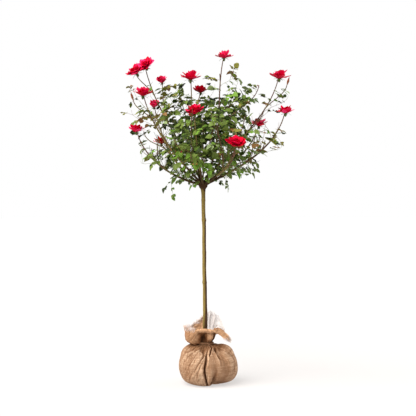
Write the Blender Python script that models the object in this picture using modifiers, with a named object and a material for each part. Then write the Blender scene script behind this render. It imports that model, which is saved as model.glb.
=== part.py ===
"""Standard rose on its root ball, wrapped and tied in burlap.

One clear stem rises from the ball to a swollen bud union. Short boughs leave the union, and
each carries a mass of arching canes with leaves and double blooms. Units are metres, +Z is up,
and the front is -Y. The origin is on the ball's flat underside, below the stem's foot.
"""

import math
import random
from typing import NamedTuple

import bmesh
import bpy
from mathutils import Matrix, Vector
from mathutils.bvhtree import BVHTree

# Driving dimensions
CLEARANCE = 0.0003  # left between pieces that touch

BALL_RADIUS = 0.130
BALL_MIDDLE = 0.080  # height of the widest level
BALL_HALF_HEIGHT = 0.104
BALL_OFFSET = 0.011  # the ball sags to +X of the stem
NECK_RADIUS = 0.034
NECK_HEIGHT = 0.176
NECK_TOP = 0.191
NECK_BEND = 0.003  # height over which the shoulder turns up into the neck
TWINE_RADIUS = 0.002
CLOTH = 0.003  # burlap, with its gathers

SOCKET_DEPTH = 0.045  # how far the stem's foot stands in the ball
STEM_RADIUS = 0.0086
STEM_FLARE = 0.0024  # added at the foot
STEM_FLARE_LENGTH = 0.20
STEM_LEAN = -0.0095  # X at the union
UNION_HEIGHT = 0.893
UNION_RADIUS = 0.0195

HEAD_REACH = 0.385  # furthest leaf from the stem's axis
HEAD_FLOOR = 0.845  # lowest drooping leaf
HEAD_FLOOR_REACH = 0.19  # beyond this the floor rises
HEAD_FLOOR_RISE = 1.05
SPUR_CEILING = 1.30  # short side twigs stay under this in the middle
SPUR_CEILING_FALL = 0.25

LEAF_LENGTH = 0.084
LEAF_WIDTH = 0.054
LEAF_THICKNESS = 0.0018
LEAF_STEP = 0.035
LEAF_TRIES = 5  # turns round the cane, before a leaf is left out
SPUR_STEP = 0.047
GOLDEN_ANGLE = math.radians(137.5)
UP = Vector((0, 0, 1))
WELD_DISTANCE = 0.00001


# Scene, materials and shared shapes

def clear_scene():
    for old in list(bpy.data.objects):
        bpy.data.objects.remove(old)


def collection(name):
    made = bpy.data.collections.new(name)
    bpy.context.scene.collection.children.link(made)
    return made


def finish(name, colour, roughness):
    made = bpy.data.materials.new(name)
    made.use_nodes = True
    shader = made.node_tree.nodes["Principled BSDF"]
    shader.inputs["Base Color"].default_value = (*colour, 1)
    shader.inputs["Roughness"].default_value = roughness
    shader.inputs["Metallic"].default_value = 0
    return made


def place(name, mesh, material, group):
    mesh.materials.clear()
    mesh.materials.append(material)
    made = bpy.data.objects.new(name, mesh)
    group.objects.link(made)
    return made


def skin(name, rings, capped_top=True):
    """A surface through rings of equally many points, or poles of one, with flat ends."""
    shell = bmesh.new()
    rows = [[shell.verts.new(point) for point in ring] for ring in rings]
    for below, above in zip(rows, rows[1:]):
        for i in range(max(len(below), len(above))):
            corners = (below[i % len(below)], below[(i + 1) % len(below)])
            corners += (above[(i + 1) % len(above)], above[i % len(above)])
            shell.faces.new(list(dict.fromkeys(corners)))
    if len(rows[0]) > 1:
        shell.faces.new(rows[0][::-1])
    if capped_top and len(rows[-1]) > 1:
        shell.faces.new(rows[-1])
    made = bpy.data.meshes.new(name)
    shell.to_mesh(made)
    shell.free()
    return made


def section(sides, group):
    """A round section for a curve's bevel, as a polygon of this many sides."""
    outline = bpy.data.curves.new(f"section_{sides}", "CURVE")
    spline = outline.splines.new("POLY")
    spline.points.add(sides - 1)
    for i, point in enumerate(spline.points):
        turn = math.tau * i / sides
        point.co = (math.cos(turn), math.sin(turn), 0, 1)
    spline.use_cyclic_u = True
    made = bpy.data.objects.new(f"section_{sides}", outline)
    made.hide_render = True
    made.display_type = "WIRE"
    group.objects.link(made)
    return made


def tube(name, points, radii, outline, group):
    """A tapering limb along the points: a curve swept with a polygon section."""
    line = bpy.data.curves.new(name, "CURVE")
    line.dimensions = "3D"
    line.bevel_mode = "OBJECT"
    line.bevel_object = outline
    line.use_fill_caps = True
    spline = line.splines.new("POLY")
    spline.points.add(len(points) - 1)
    for knot, point, radius in zip(spline.points, points, radii):
        knot.co = (*point, 1)
        knot.radius = radius
    made = bpy.data.objects.new(name, line)
    group.objects.link(made)
    return made


def solid_meshes(curves, group, material):
    """Turns swept curves into closed mesh objects of the same names."""
    graph = bpy.context.evaluated_depsgraph_get()
    made = []
    for curve in curves:
        mesh = bpy.data.meshes.new_from_object(curve.evaluated_get(graph))
        shell = bmesh.new()
        shell.from_mesh(mesh)
        bmesh.ops.remove_doubles(shell, verts=shell.verts, dist=WELD_DISTANCE)
        bmesh.ops.recalc_face_normals(shell, faces=shell.faces)
        shell.to_mesh(mesh)
        shell.free()
        name = curve.name
        data = curve.data
        bpy.data.objects.remove(curve)
        bpy.data.curves.remove(data)
        made.append(place(name, mesh, material, group))
    return made


def boolean(target, operation, **other):
    """Applies one Boolean to the target."""
    change = target.modifiers.new(operation.lower(), "BOOLEAN")
    change.operation = operation
    for key, value in other.items():
        setattr(change, key, value)
    graph = bpy.context.evaluated_depsgraph_get()
    mesh = bpy.data.meshes.new_from_object(target.evaluated_get(graph))
    target.modifiers.clear()
    target.data = mesh


def smooth_step(low, high, value):
    share = min(1.0, max(0.0, (value - low) / (high - low)))
    return share * share * (3 - 2 * share)


def bezier(start, lead, trail, end, steps):
    """Points along a cubic curve."""
    points = []
    for i in range(steps + 1):
        t = i / steps
        points.append(
            start * (1 - t) ** 3
            + lead * 3 * t * (1 - t) ** 2
            + trail * 3 * t * t * (1 - t)
            + end * t**3
        )
    return points


def heading(azimuth, climb):
    """A unit direction: degrees round from +X, and degrees above level."""
    turn, rise = math.radians(azimuth), math.radians(climb)
    return Vector((math.cos(turn) * math.cos(rise), math.sin(turn) * math.cos(rise), math.sin(rise)))


# Root ball: burlap gathered over soil, with creases that run down from the neck

class Crease(NamedTuple):
    azimuth: float  # degrees round from +X; -Y, the front, is 270
    width: float  # degrees
    shoulder: float  # depth near the neck
    foot: float  # depth near the ground


CREASES = (
    Crease(266, 7, 0.016, 0.016),
    Crease(293, 9, 0.004, 0.015),
    Crease(311, 12, 0.020, 0.001),
    Crease(348, 10, 0.007, 0.002),
    Crease(28, 9, 0.009, 0.006),
    Crease(70, 11, 0.012, 0.003),
    Crease(108, 8, 0.007, 0.009),
    Crease(147, 10, 0.013, 0.002),
    Crease(186, 9, 0.006, 0.006),
    Crease(226, 11, 0.009, 0.001),
)
BALL_COLUMNS = 45
BALL_ROWS = 8
BALL_FOOT_ANGLE = math.asin(-BALL_MIDDLE / BALL_HALF_HEIGHT)
BALL_TOP_ANGLE = math.radians(62)
BALL_FULLNESS = (0.68, 0.80)  # of the lower and upper halves; under 1 squares the section off
BALL_OVAL = 0.025  # how far the plan departs from a circle
BALL_OVAL_TURN = 20  # degrees
CREASE_STRENGTH_AT_FOOT = 0.35
CREASE_FADE = 0.25  # share of the height below which the creases fade
CREASE_END = 0.93  # share above which the neck's pleats take over
SAG_END = 0.6  # share above which the ball comes back to the stem's axis
PLEAT_DEPTH = 0.0012  # round the gathered neck
PLEAT_COLUMNS = 3


def crease_depth(azimuth, rise):
    """How far the cloth is drawn in, at this azimuth and share of the ball's height."""
    depth = 0
    for crease in CREASES:
        away = (azimuth - crease.azimuth + 180) % 360 - 180
        here = crease.foot + (crease.shoulder - crease.foot) * smooth_step(0, 1, rise)
        depth += here * math.exp(-((away / crease.width) ** 2))
    return depth


def ball_ring(radius, height):
    rise = height / NECK_HEIGHT
    gather = max(smooth_step(0, CREASE_FADE, rise), CREASE_STRENGTH_AT_FOOT)
    gather *= 1 - smooth_step(CREASE_END, 1, rise)
    middle = BALL_OFFSET * (1 - smooth_step(SAG_END, 1, rise))
    ring = []
    for column in range(BALL_COLUMNS):
        azimuth = 360 * column / BALL_COLUMNS
        oval = 1 + BALL_OVAL * math.cos(math.radians(2 * azimuth - BALL_OVAL_TURN))
        reach = radius * oval - crease_depth(azimuth, rise) * gather
        turn = math.radians(azimuth)
        ring.append((middle + reach * math.cos(turn), reach * math.sin(turn), height))
    return ring


def neck_ring(radius, height):
    """The gathered neck: fine, even pleats."""
    ring = []
    for column in range(BALL_COLUMNS):
        reach = radius - (PLEAT_DEPTH if column % PLEAT_COLUMNS == 0 else 0)
        turn = math.tau * column / BALL_COLUMNS
        ring.append((reach * math.cos(turn), reach * math.sin(turn), height))
    return ring


def build_root_ball(material, group):
    rings = []
    for row in range(BALL_ROWS + 1):
        angle = BALL_FOOT_ANGLE + (BALL_TOP_ANGLE - BALL_FOOT_ANGLE) * row / BALL_ROWS
        height = BALL_MIDDLE + BALL_HALF_HEIGHT * math.sin(angle)
        radius = BALL_RADIUS * math.cos(angle) ** BALL_FULLNESS[angle > 0]
        rings.append(ball_ring(radius, max(height, 0)))
    rings.append(neck_ring(NECK_RADIUS, NECK_HEIGHT + NECK_BEND))
    rings.append(neck_ring(NECK_RADIUS, NECK_TOP))
    return place("root_ball", skin("root_ball", rings), material, group)


# Collar: the loose corners of the burlap above the tie

class Rim(NamedTuple):
    azimuth: float
    reach: float
    height: float
    belly: float  # how far it sags below a straight flare


COLLAR_RIM = (
    Rim(0, 0.100, 0.216, -0.004),
    Rim(32, 0.080, 0.252, 0.004),
    Rim(58, 0.066, 0.318, 0.006),
    Rim(84, 0.050, 0.331, 0.006),
    Rim(112, 0.046, 0.284, 0.004),
    Rim(138, 0.050, 0.296, 0.006),
    Rim(165, 0.083, 0.262, 0.022),
    Rim(192, 0.098, 0.256, 0.030),
    Rim(222, 0.088, 0.240, 0.026),
    Rim(252, 0.062, 0.244, 0.010),
    Rim(283, 0.056, 0.243, 0.004),
    Rim(310, 0.060, 0.236, 0.002),
    Rim(338, 0.072, 0.232, 0.000),
)
COLLAR_COLUMNS = 42
COLLAR_ROWS = 4
RUFFLES = 11
RUFFLE_DEPTH = 0.005
RUFFLE_TWIST = 1.5  # radians that a ruffle leans from foot to rim
COLLAR_CURL = 1.5  # over 1, the cloth leaves the neck level and then turns up


def rim_at(azimuth):
    """Reach, height and belly of the collar's edge, eased between its corners."""
    for first, second in zip(COLLAR_RIM, COLLAR_RIM[1:] + COLLAR_RIM[:1]):
        span = (second.azimuth - first.azimuth) % 360
        along = (azimuth - first.azimuth) % 360
        if along <= span:
            share = smooth_step(0, 1, along / span)
            return [a + (b - a) * share for a, b in zip(first[1:], second[1:])]
    raise ValueError(azimuth)


def collar_ring(share):
    ring = []
    for column in range(COLLAR_COLUMNS):
        azimuth = 360 * column / COLLAR_COLUMNS
        reach, height, belly = rim_at(azimuth)
        bottom = NECK_TOP + CLEARANCE
        ruffle = RUFFLE_DEPTH * share * math.cos(RUFFLES * math.radians(azimuth) + RUFFLE_TWIST * share)
        radius = NECK_RADIUS + (reach - NECK_RADIUS) * math.sin(share * math.pi / 2) + ruffle
        level = bottom + (height - bottom) * share**COLLAR_CURL - belly * math.sin(math.pi * share) * share
        turn = math.radians(azimuth)
        ring.append((radius * math.cos(turn), radius * math.sin(turn), max(level, bottom)))
    return ring


def build_collar(material, group):
    rings = [collar_ring(row / COLLAR_ROWS) for row in range(COLLAR_ROWS + 1)]
    made = place("burlap_collar", skin("burlap_collar", rings, capped_top=False), material, group)
    thicken = made.modifiers.new("cloth", "SOLIDIFY")
    thicken.thickness = CLOTH
    thicken.offset = -1
    return made


def build_twine(material, group):
    bpy.ops.mesh.primitive_torus_add(
        major_radius=NECK_RADIUS + TWINE_RADIUS + CLEARANCE,
        minor_radius=TWINE_RADIUS,
        major_segments=24,
        minor_segments=5,
        location=(0, 0, (NECK_HEIGHT + NECK_BEND + NECK_TOP) / 2),
    )
    made = bpy.context.object
    made.name = "neck_twine"
    made.data.materials.append(material)
    for home in list(made.users_collection):
        home.objects.unlink(made)
    group.objects.link(made)
    return made


# Stem: straight, slightly leaning, with a flared foot, leaf-scar knuckles and the bud union

STEM_SIDES = 10
UNION_ANGLES = (-42, -12, 18, 45, 70)  # levels of the union's rings, as on a globe
UNION_TOP = UNION_HEIGHT + UNION_RADIUS * math.sin(math.radians(UNION_ANGLES[-1]))
STEM_FOOT = NECK_TOP - SOCKET_DEPTH
STEM_STEP = 0.055  # between the stem's rings
STEM_BOW = 1.3  # over 1, the lean grows towards the top
STEM_TOP_SWELL = 1.15  # just below the union
STEM_KNUCKLES = ((0.455, 0.0010), (0.735, 0.0013), (0.825, 0.0007))  # height, extra radius


def stem_axis(height):
    rise = (height - STEM_FOOT) / (UNION_HEIGHT - STEM_FOOT)
    return Vector((STEM_LEAN * rise**STEM_BOW, 0, height))


def stem_profile():
    """(height, radius) from the flat foot to the domed top of the union."""
    below = UNION_HEIGHT - UNION_RADIUS * 1.35
    count = int((below - STEM_FOOT) / STEM_STEP)
    straight = [STEM_FOOT + STEM_STEP * i for i in range(count)]
    profile = []
    for height in sorted(straight + [knuckle[0] for knuckle in STEM_KNUCKLES]):
        radius = STEM_RADIUS + STEM_FLARE * math.exp(-(height - STEM_FOOT) / STEM_FLARE_LENGTH)
        radius += sum(extra for level, extra in STEM_KNUCKLES if level == height)
        profile.append((height, radius))
    profile.append((below, STEM_RADIUS * STEM_TOP_SWELL))
    for angle in UNION_ANGLES:
        turn = math.radians(angle)
        profile.append((UNION_HEIGHT + UNION_RADIUS * math.sin(turn), UNION_RADIUS * math.cos(turn)))
    return profile


def stem_tube(name, extra, outline, group):
    profile = stem_profile()
    points = [stem_axis(height) for height, _ in profile]
    points[0].z -= extra
    return tube(name, points, [radius + extra for _, radius in profile], outline, group)


# Head: canes that leave the union, climb outwards and turn up to a bloom, a bud or a leafy tip

class Shoot(NamedTuple):
    tip: tuple
    bloom: float = 0  # diameter; 0 is a leafy tip
    branches_at: float = 0  # share of the main cane where this one branches off
    nod: tuple = (0, 0, 1)  # the way the bloom faces


class Mass(NamedTuple):
    name: str
    bough: str  # or "stem", for the mass that stands on the union
    fork: float  # share of the bough where the mass starts; 1 is its end
    shoots: tuple  # the first is the main cane, the others branch from it


class Bough(NamedTuple):
    azimuth: float
    climb: float  # degrees above level where it leaves the union
    radius: float
    tip: tuple  # the end of the cane that it starts


BUD = -0.008  # a closed bud, by its radius

MASSES = (
    Mass("right_low", "bough_right_low", 1, (
        Shoot((0.358, -0.030, 1.226), 0.068),
        Shoot((0.262, -0.110, 1.085), 0, 0.12),
        Shoot((0.225, -0.010, 1.125), 0, 0.25),
    )),
    Mass("right_high", "bough_right_high", 1, (
        Shoot((0.338, 0.070, 1.398), 0.086),
        Shoot((0.372, 0.040, 1.352), BUD, 0.66),
        Shoot((0.265, 0.010, 1.235), 0, 0.30),
    )),
    Mass("right_back", "bough_back_right", 1, (
        Shoot((0.250, 0.150, 1.186), 0.076),
        Shoot((0.225, 0.225, 1.060), 0, 0.15),
    )),
    Mass("back_right", "bough_back_right", 0.62, (
        Shoot((0.150, 0.270, 1.105), 0.078, 0, (0.25, 0.75, 0.6)),
        Shoot((0.045, 0.300, 1.190), 0, 0.30),
        Shoot((0.080, 0.250, 0.975), 0, 0.10),
    )),
    Mass("back_left", "bough_back_left", 1, (
        Shoot((-0.053, 0.275, 1.258), 0.080, 0, (-0.1, 0.5, 0.8)),
        Shoot((-0.130, 0.300, 1.075), 0.074, 0.18, (-0.3, 0.7, 0.6)),
        Shoot((-0.150, 0.230, 1.180), 0, 0.40),
    )),
    Mass("left_back", "bough_left_back", 1, (
        Shoot((-0.238, 0.120, 1.268), 0.048),
        Shoot((-0.205, 0.130, 1.102), 0.070, 0.22),
        Shoot((-0.290, 0.170, 1.150), 0, 0.30),
    )),
    Mass("left_low", "bough_left_low", 1, (
        Shoot((-0.309, -0.020, 1.144), 0.068),
        Shoot((-0.235, -0.110, 1.050), 0, 0.16),
        Shoot((-0.215, 0.020, 1.120), 0, 0.30),
    )),
    Mass("left_high", "bough_left_high", 1, (
        Shoot((-0.274, -0.100, 1.298), 0.084),
        Shoot((-0.315, -0.115, 1.262), BUD, 0.66),
        Shoot((-0.205, -0.150, 1.170), 0, 0.28),
    )),
    Mass("top_left", "bough_top_left", 1, (
        Shoot((-0.275, 0.020, 1.438), 0.074, 0, (-0.45, -0.2, 0.85)),
        Shoot((-0.314, -0.030, 1.403), 0.074, 0.70, (-0.5, -0.3, 0.8)),
        Shoot((-0.200, 0.080, 1.376), 0.040, 0.42, (0, 0, 1)),
    )),
    Mass("top_middle", "bough_top_left", 0.55, (
        Shoot((-0.066, -0.050, 1.376), 0.086),
        Shoot((-0.022, 0.060, 1.330), 0.070, 0.45),
        Shoot((-0.110, 0.050, 1.290), 0, 0.30),
    )),
    Mass("top_right", "bough_top_right", 1, (
        Shoot((0.084, 0.000, 1.478), 0.074),
        Shoot((0.245, 0.060, 1.350), 0, 0.26),
        Shoot((0.120, 0.110, 1.300), 0, 0.34),
        Shoot((0.065, -0.015, 1.400), BUD, 0.72),
    )),
    Mass("middle", "stem", 1, (
        Shoot((-0.010, -0.060, 1.235)),
        Shoot((0.035, -0.115, 1.150), 0, 0.16),
        Shoot((-0.085, -0.050, 1.120), 0, 0.24),
        Shoot((-0.035, 0.070, 1.200), 0, 0.34),
    )),
    Mass("front_right", "bough_front_right", 1, (
        Shoot((0.131, -0.280, 1.066), 0.082, 0, (0.15, -0.75, 0.65)),
        Shoot((0.045, -0.235, 1.180), 0, 0.20),
        Shoot((0.175, -0.150, 1.195), 0, 0.30),
    )),
    Mass("front_left", "bough_front_left", 1, (
        Shoot((-0.047, -0.200, 1.208), 0.085, 0, (-0.1, -0.25, 1)),
        Shoot((-0.130, -0.255, 1.080), 0, 0.20),
        Shoot((-0.060, -0.300, 1.015), 0, 0.10),
    )),
)

BOUGHS = {
    "bough_right_low": Bough(-4, 24, 0.0068, MASSES[0].shoots[0].tip),
    "bough_right_high": Bough(34, 52, 0.0052, MASSES[1].shoots[0].tip),
    "bough_back_right": Bough(60, 20, 0.0062, MASSES[2].shoots[0].tip),
    "bough_back_left": Bough(104, 26, 0.0058, MASSES[4].shoots[0].tip),
    "bough_left_back": Bough(148, 24, 0.0056, MASSES[5].shoots[0].tip),
    "bough_left_low": Bough(188, 12, 0.0060, MASSES[6].shoots[0].tip),
    "bough_left_high": Bough(228, 34, 0.0056, MASSES[7].shoots[0].tip),
    "bough_top_left": Bough(150, 60, 0.0052, MASSES[8].shoots[0].tip),
    "bough_top_right": Bough(330, 60, 0.0052, MASSES[10].shoots[0].tip),
    "bough_front_right": Bough(308, 24, 0.0058, MASSES[12].shoots[0].tip),
    "bough_front_left": Bough(264, 22, 0.0056, MASSES[13].shoots[0].tip),
}
BOUGH_LENGTH = 0.115
BOUGH_ROOT = UNION_RADIUS / 2  # inside the union, which cuts it off
MIDDLE_RADIUS = 0.0036  # of the cane that stands on the union
CANE_STEPS = 12
SHORTEST = 0.001  # segment left at a trimmed cane's end
CANE_LEAD = 0.40  # pull of the starting direction, as a share of the cane's reach
CANE_TRAIL = 0.34  # pull of the upright end
CANE_SPREAD = 0.22  # outward lean of that end
CANE_TAPER = 1.1
CANE_TIP_RADIUS = 0.0019
FORK_THINNING = 0.72  # of a cane that leaves its bough's side
FORK_FOLLOW = 0.6  # how much of the parent's direction a fork keeps
SIDE_PULL = 0.8
SIDE_THICKNESS = 0.35
SPUR_RADII = (0.0013, 0.0017, 0.0013)  # foot, middle and tip
SPUR_LENGTHS = (0.055, 0.105)
BLOOM_STALK = 0.055  # leafless, under a bloom
TIP_STALK = 0.004


def union_centre():
    return stem_axis(UNION_HEIGHT)


def lengths_along(points):
    total = [0.0]
    for a, b in zip(points, points[1:]):
        total.append(total[-1] + (b - a).length)
    return total


def point_along(points, distance):
    """The point and direction at this distance along a line of points."""
    run = 0.0
    for a, b in zip(points, points[1:]):
        step = (b - a).length
        if run + step >= distance or b is points[-1]:
            return a.lerp(b, min(1.0, (distance - run) / step)), (b - a).normalized()
        run += step
    raise ValueError("a line needs two points")


def cane_line(start, way, tip):
    """An arching cane: it leaves along way, and ends upright under its tip."""
    reach = (tip - start).length
    outward = Vector((tip.x - start.x, tip.y - start.y, 0))
    ending = (UP + outward.normalized() * CANE_SPREAD).normalized()
    return bezier(start, start + way * reach * CANE_LEAD, tip - ending * reach * CANE_TRAIL, tip, CANE_STEPS)


def trim_line(points, start, end):
    """The stretch of a line between two distances along it."""
    run = lengths_along(points)
    inner = [point for point, here in zip(points, run) if start + SHORTEST < here < end - SHORTEST]
    return [point_along(points, start)[0], *inner, point_along(points, end)[0]]


def taper(points, foot, tip, passed=0.0, whole=None):
    """Radii along a cane that thins from foot to tip over its whole length."""
    run = lengths_along(points)
    whole = whole or run[-1]
    return [tip + (foot - tip) * max(0.0, 1 - (passed + here) / whole) ** CANE_TAPER for here in run]


class Limb(NamedTuple):
    points: list
    radii: list
    bloom: float
    nod: Vector


def bough_line(bough):
    return cane_line(union_centre(), heading(bough.azimuth, bough.climb), Vector(bough.tip))


def bough_limb(bough):
    line = bough_line(bough)
    points = trim_line(line, BOUGH_ROOT, BOUGH_LENGTH)
    radii = taper(points, bough.radius, CANE_TIP_RADIUS, BOUGH_ROOT, lengths_along(line)[-1])
    return Limb(points, radii, 0, UP)


def main_limb(mass):
    """The mass's own main cane, from the end or the side of its bough to its tip."""
    shoot = mass.shoots[0]
    if mass.bough == "stem":
        foot = stem_axis(UNION_TOP + CLEARANCE)
        points = cane_line(foot, UP, Vector(shoot.tip))
        return Limb(points, taper(points, MIDDLE_RADIUS, CANE_TIP_RADIUS), shoot.bloom, UP)
    bough = BOUGHS[mass.bough]
    if mass.fork == 1:
        line = bough_line(bough)
        whole = lengths_along(line)[-1]
        passed = BOUGH_LENGTH + CLEARANCE
        points = trim_line(line, passed, whole)
        radii = taper(points, bough.radius, CANE_TIP_RADIUS, passed, whole)
    else:
        start, along = point_along(bough_line(bough), BOUGH_LENGTH * mass.fork)
        way = (along * FORK_FOLLOW + (Vector(shoot.tip) - start).normalized()).normalized()
        points = cane_line(start, way, Vector(shoot.tip))
        radii = taper(points, bough.radius * FORK_THINNING, CANE_TIP_RADIUS)
    return Limb(points, radii, shoot.bloom, Vector(shoot.nod).normalized())


def side_limb(main, shoot):
    """A shoot that branches from the main cane."""
    whole = lengths_along(main.points)[-1]
    start, along = point_along(main.points, whole * shoot.branches_at)
    tip = Vector(shoot.tip)
    way = (along + (tip - start).normalized() * SIDE_PULL).normalized()
    points = cane_line(start, way, tip)[::2]
    thickness = (main.radii[0] - CANE_TIP_RADIUS) * (1 - shoot.branches_at) * SIDE_THICKNESS
    radii = taper(points, CANE_TIP_RADIUS + thickness, CANE_TIP_RADIUS)
    return Limb(points, radii, shoot.bloom, Vector(shoot.nod).normalized())


def mass_limbs(mass):
    main = main_limb(mass)
    return [main] + [side_limb(main, shoot) for shoot in mass.shoots[1:]]


# Space: each mass keeps to its own cell of the head, and clear of every other limb

def cell_seed(limbs):
    outer = [point for limb in limbs for point in limb.points[len(limb.points) // 2:]]
    return sum(outer, Vector()) / len(outer)


def in_cell(point, own, others):
    """True nearer to the mass's own seed than to any other, by more than the clearance."""
    for other in others:
        across = (other - own).normalized()
        if (point - (own + other) / 2).dot(across) > -CLEARANCE:
            return False
    return True


def in_head(point, ceiling=False):
    """True inside the head's outline; the ceiling holds only for spurs."""
    reach = math.hypot(point.x, point.y)
    floor = HEAD_FLOOR + HEAD_FLOOR_RISE * max(0.0, reach - HEAD_FLOOR_REACH)
    if reach > HEAD_REACH or point.z < floor:
        return False
    return not ceiling or point.z < SPUR_CEILING - SPUR_CEILING_FALL * reach


GUARD_MARGIN = 0.0008


def guard_tree(limbs, outline, group):
    """A search tree of these limbs' surfaces, a little swollen."""
    tubes = []
    for i, limb in enumerate(limbs):
        swollen = [radius + GUARD_MARGIN for radius in limb.radii]
        tubes.append(tube(f"guard_{i}", limb.points, swollen, outline, group))
    graph = bpy.context.evaluated_depsgraph_get()
    corners, faces = [], []
    for guard in tubes:
        mesh = guard.evaluated_get(graph).to_mesh()
        first = len(corners)
        corners += [vertex.co.copy() for vertex in mesh.vertices]
        faces += [[first + index for index in face.vertices] for face in mesh.polygons]
        guard.evaluated_get(graph).to_mesh_clear()
    for guard in tubes:
        bpy.data.objects.remove(guard)
    return BVHTree.FromPolygons(corners, faces)


# Leaves: each blade stands for one compound leaf

LEAF_WIDEST = 0.42  # widest point, as a share of the length
LEAF_ARCH = 0.06  # how far the widest line stands above root and tip
LEAF_SINK = 0.0003  # how far the root goes past the twig's middle
LEAF_STANCE = math.radians(58)  # between a leaf and its cane
LEAF_HANG = 0.18
LEAF_TILT = 0.5  # how unevenly the blades face the sky
LEAF_SIZES = (0.80, 1.08)
LEAF_ROOM = 0.34  # between the middles of two leaves, in leaf lengths


def leaf_mesh(material):
    """An arched diamond blade one unit long, along +X and facing +Z, with a keel below."""
    blade = bmesh.new()
    bmesh.ops.create_cone(blade, cap_ends=True, segments=4, radius1=1, radius2=0, depth=1)
    half_width = LEAF_WIDTH / LEAF_LENGTH / 2
    sides = []
    for corner in blade.verts:
        x, y, z = corner.co
        if z > 0:
            corner.co = (LEAF_WIDEST, 0, LEAF_ARCH - LEAF_THICKNESS / LEAF_LENGTH)
        elif abs(y) > 0.5:
            corner.co = (LEAF_WIDEST, math.copysign(half_width, y), LEAF_ARCH)
            sides.append(corner)
        else:
            corner.co = (max(x, 0), 0, 0)
    bmesh.ops.connect_verts(blade, verts=sides)
    bmesh.ops.recalc_face_normals(blade, faces=blade.faces)
    made = bpy.data.meshes.new("leaf")
    blade.to_mesh(made)
    blade.free()
    made.materials.append(material)
    return made


def leaf_matrix(root, way, face, length):
    side = face.cross(way).normalized()
    face = way.cross(side).normalized()
    turned = Matrix((way, side, face)).transposed().to_4x4()
    return Matrix.Translation(root - way * LEAF_SINK) @ turned @ Matrix.Scale(length, 4)


def leaf_way(along, azimuth, spread):
    """The direction of a leaf that stands off its cane at this turn round it."""
    across = along.orthogonal().normalized()
    across.rotate(Matrix.Rotation(azimuth, 3, along))
    way = along * math.cos(spread) + across * math.sin(spread)
    way.z -= LEAF_HANG
    return way.normalized()


# Blooms: cupped double flowers with two tiers of pointed petals

BLOOM_COLUMNS = 10
BLOOM_RINGS = (
    # radius and height on a petal, then between petals, in bloom radii
    (1.00, 0.02, 0.68, -0.02),
    (0.56, 0.20, 0.60, 0.10),
    (0.42, 0.44, 0.66, 0.46),
)
BLOOM_FOOT = -0.46
BLOOM_HEART = 0.26


def bloom_mesh(material):
    rings = [[(0, 0, BLOOM_FOOT)]]
    for on_radius, on_height, off_radius, off_height in BLOOM_RINGS:
        ring = []
        for column in range(BLOOM_COLUMNS):
            turn = math.tau * column / BLOOM_COLUMNS
            odd = column % 2
            radius = off_radius if odd else on_radius
            height = off_height if odd else on_height
            ring.append((radius * math.cos(turn), radius * math.sin(turn), height))
        rings.append(ring)
    rings.append([(0, 0, BLOOM_HEART)])
    made = skin("bloom", rings)
    made.materials.append(material)
    return made


BUD_STRETCH = 2.1
BUD_RISE = 1.2  # of its middle above the cane's tip, in bud radii


def bud_mesh(material):
    shape = bmesh.new()
    bmesh.ops.create_uvsphere(shape, u_segments=5, v_segments=3, radius=1)
    for corner in shape.verts:
        corner.co.z = corner.co.z * BUD_STRETCH + BUD_RISE
    made = bpy.data.meshes.new("bud")
    shape.to_mesh(made)
    shape.free()
    made.materials.append(material)
    return made


# Growth

UPRIGHT = 0.95  # a blade's own length can't face the sky
UNEVEN = (0.85, 1.15)  # spread of the steps along a cane
SPUR_LEAF_LENGTH = LEAF_LENGTH * 0.92
SPUR_REACH = 0.66  # share of a cane that carries spurs
FIRST_SPUR = 0.03
FIRST_LEAF = 0.025
END_LEAF_STANCE = math.radians(12)


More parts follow.
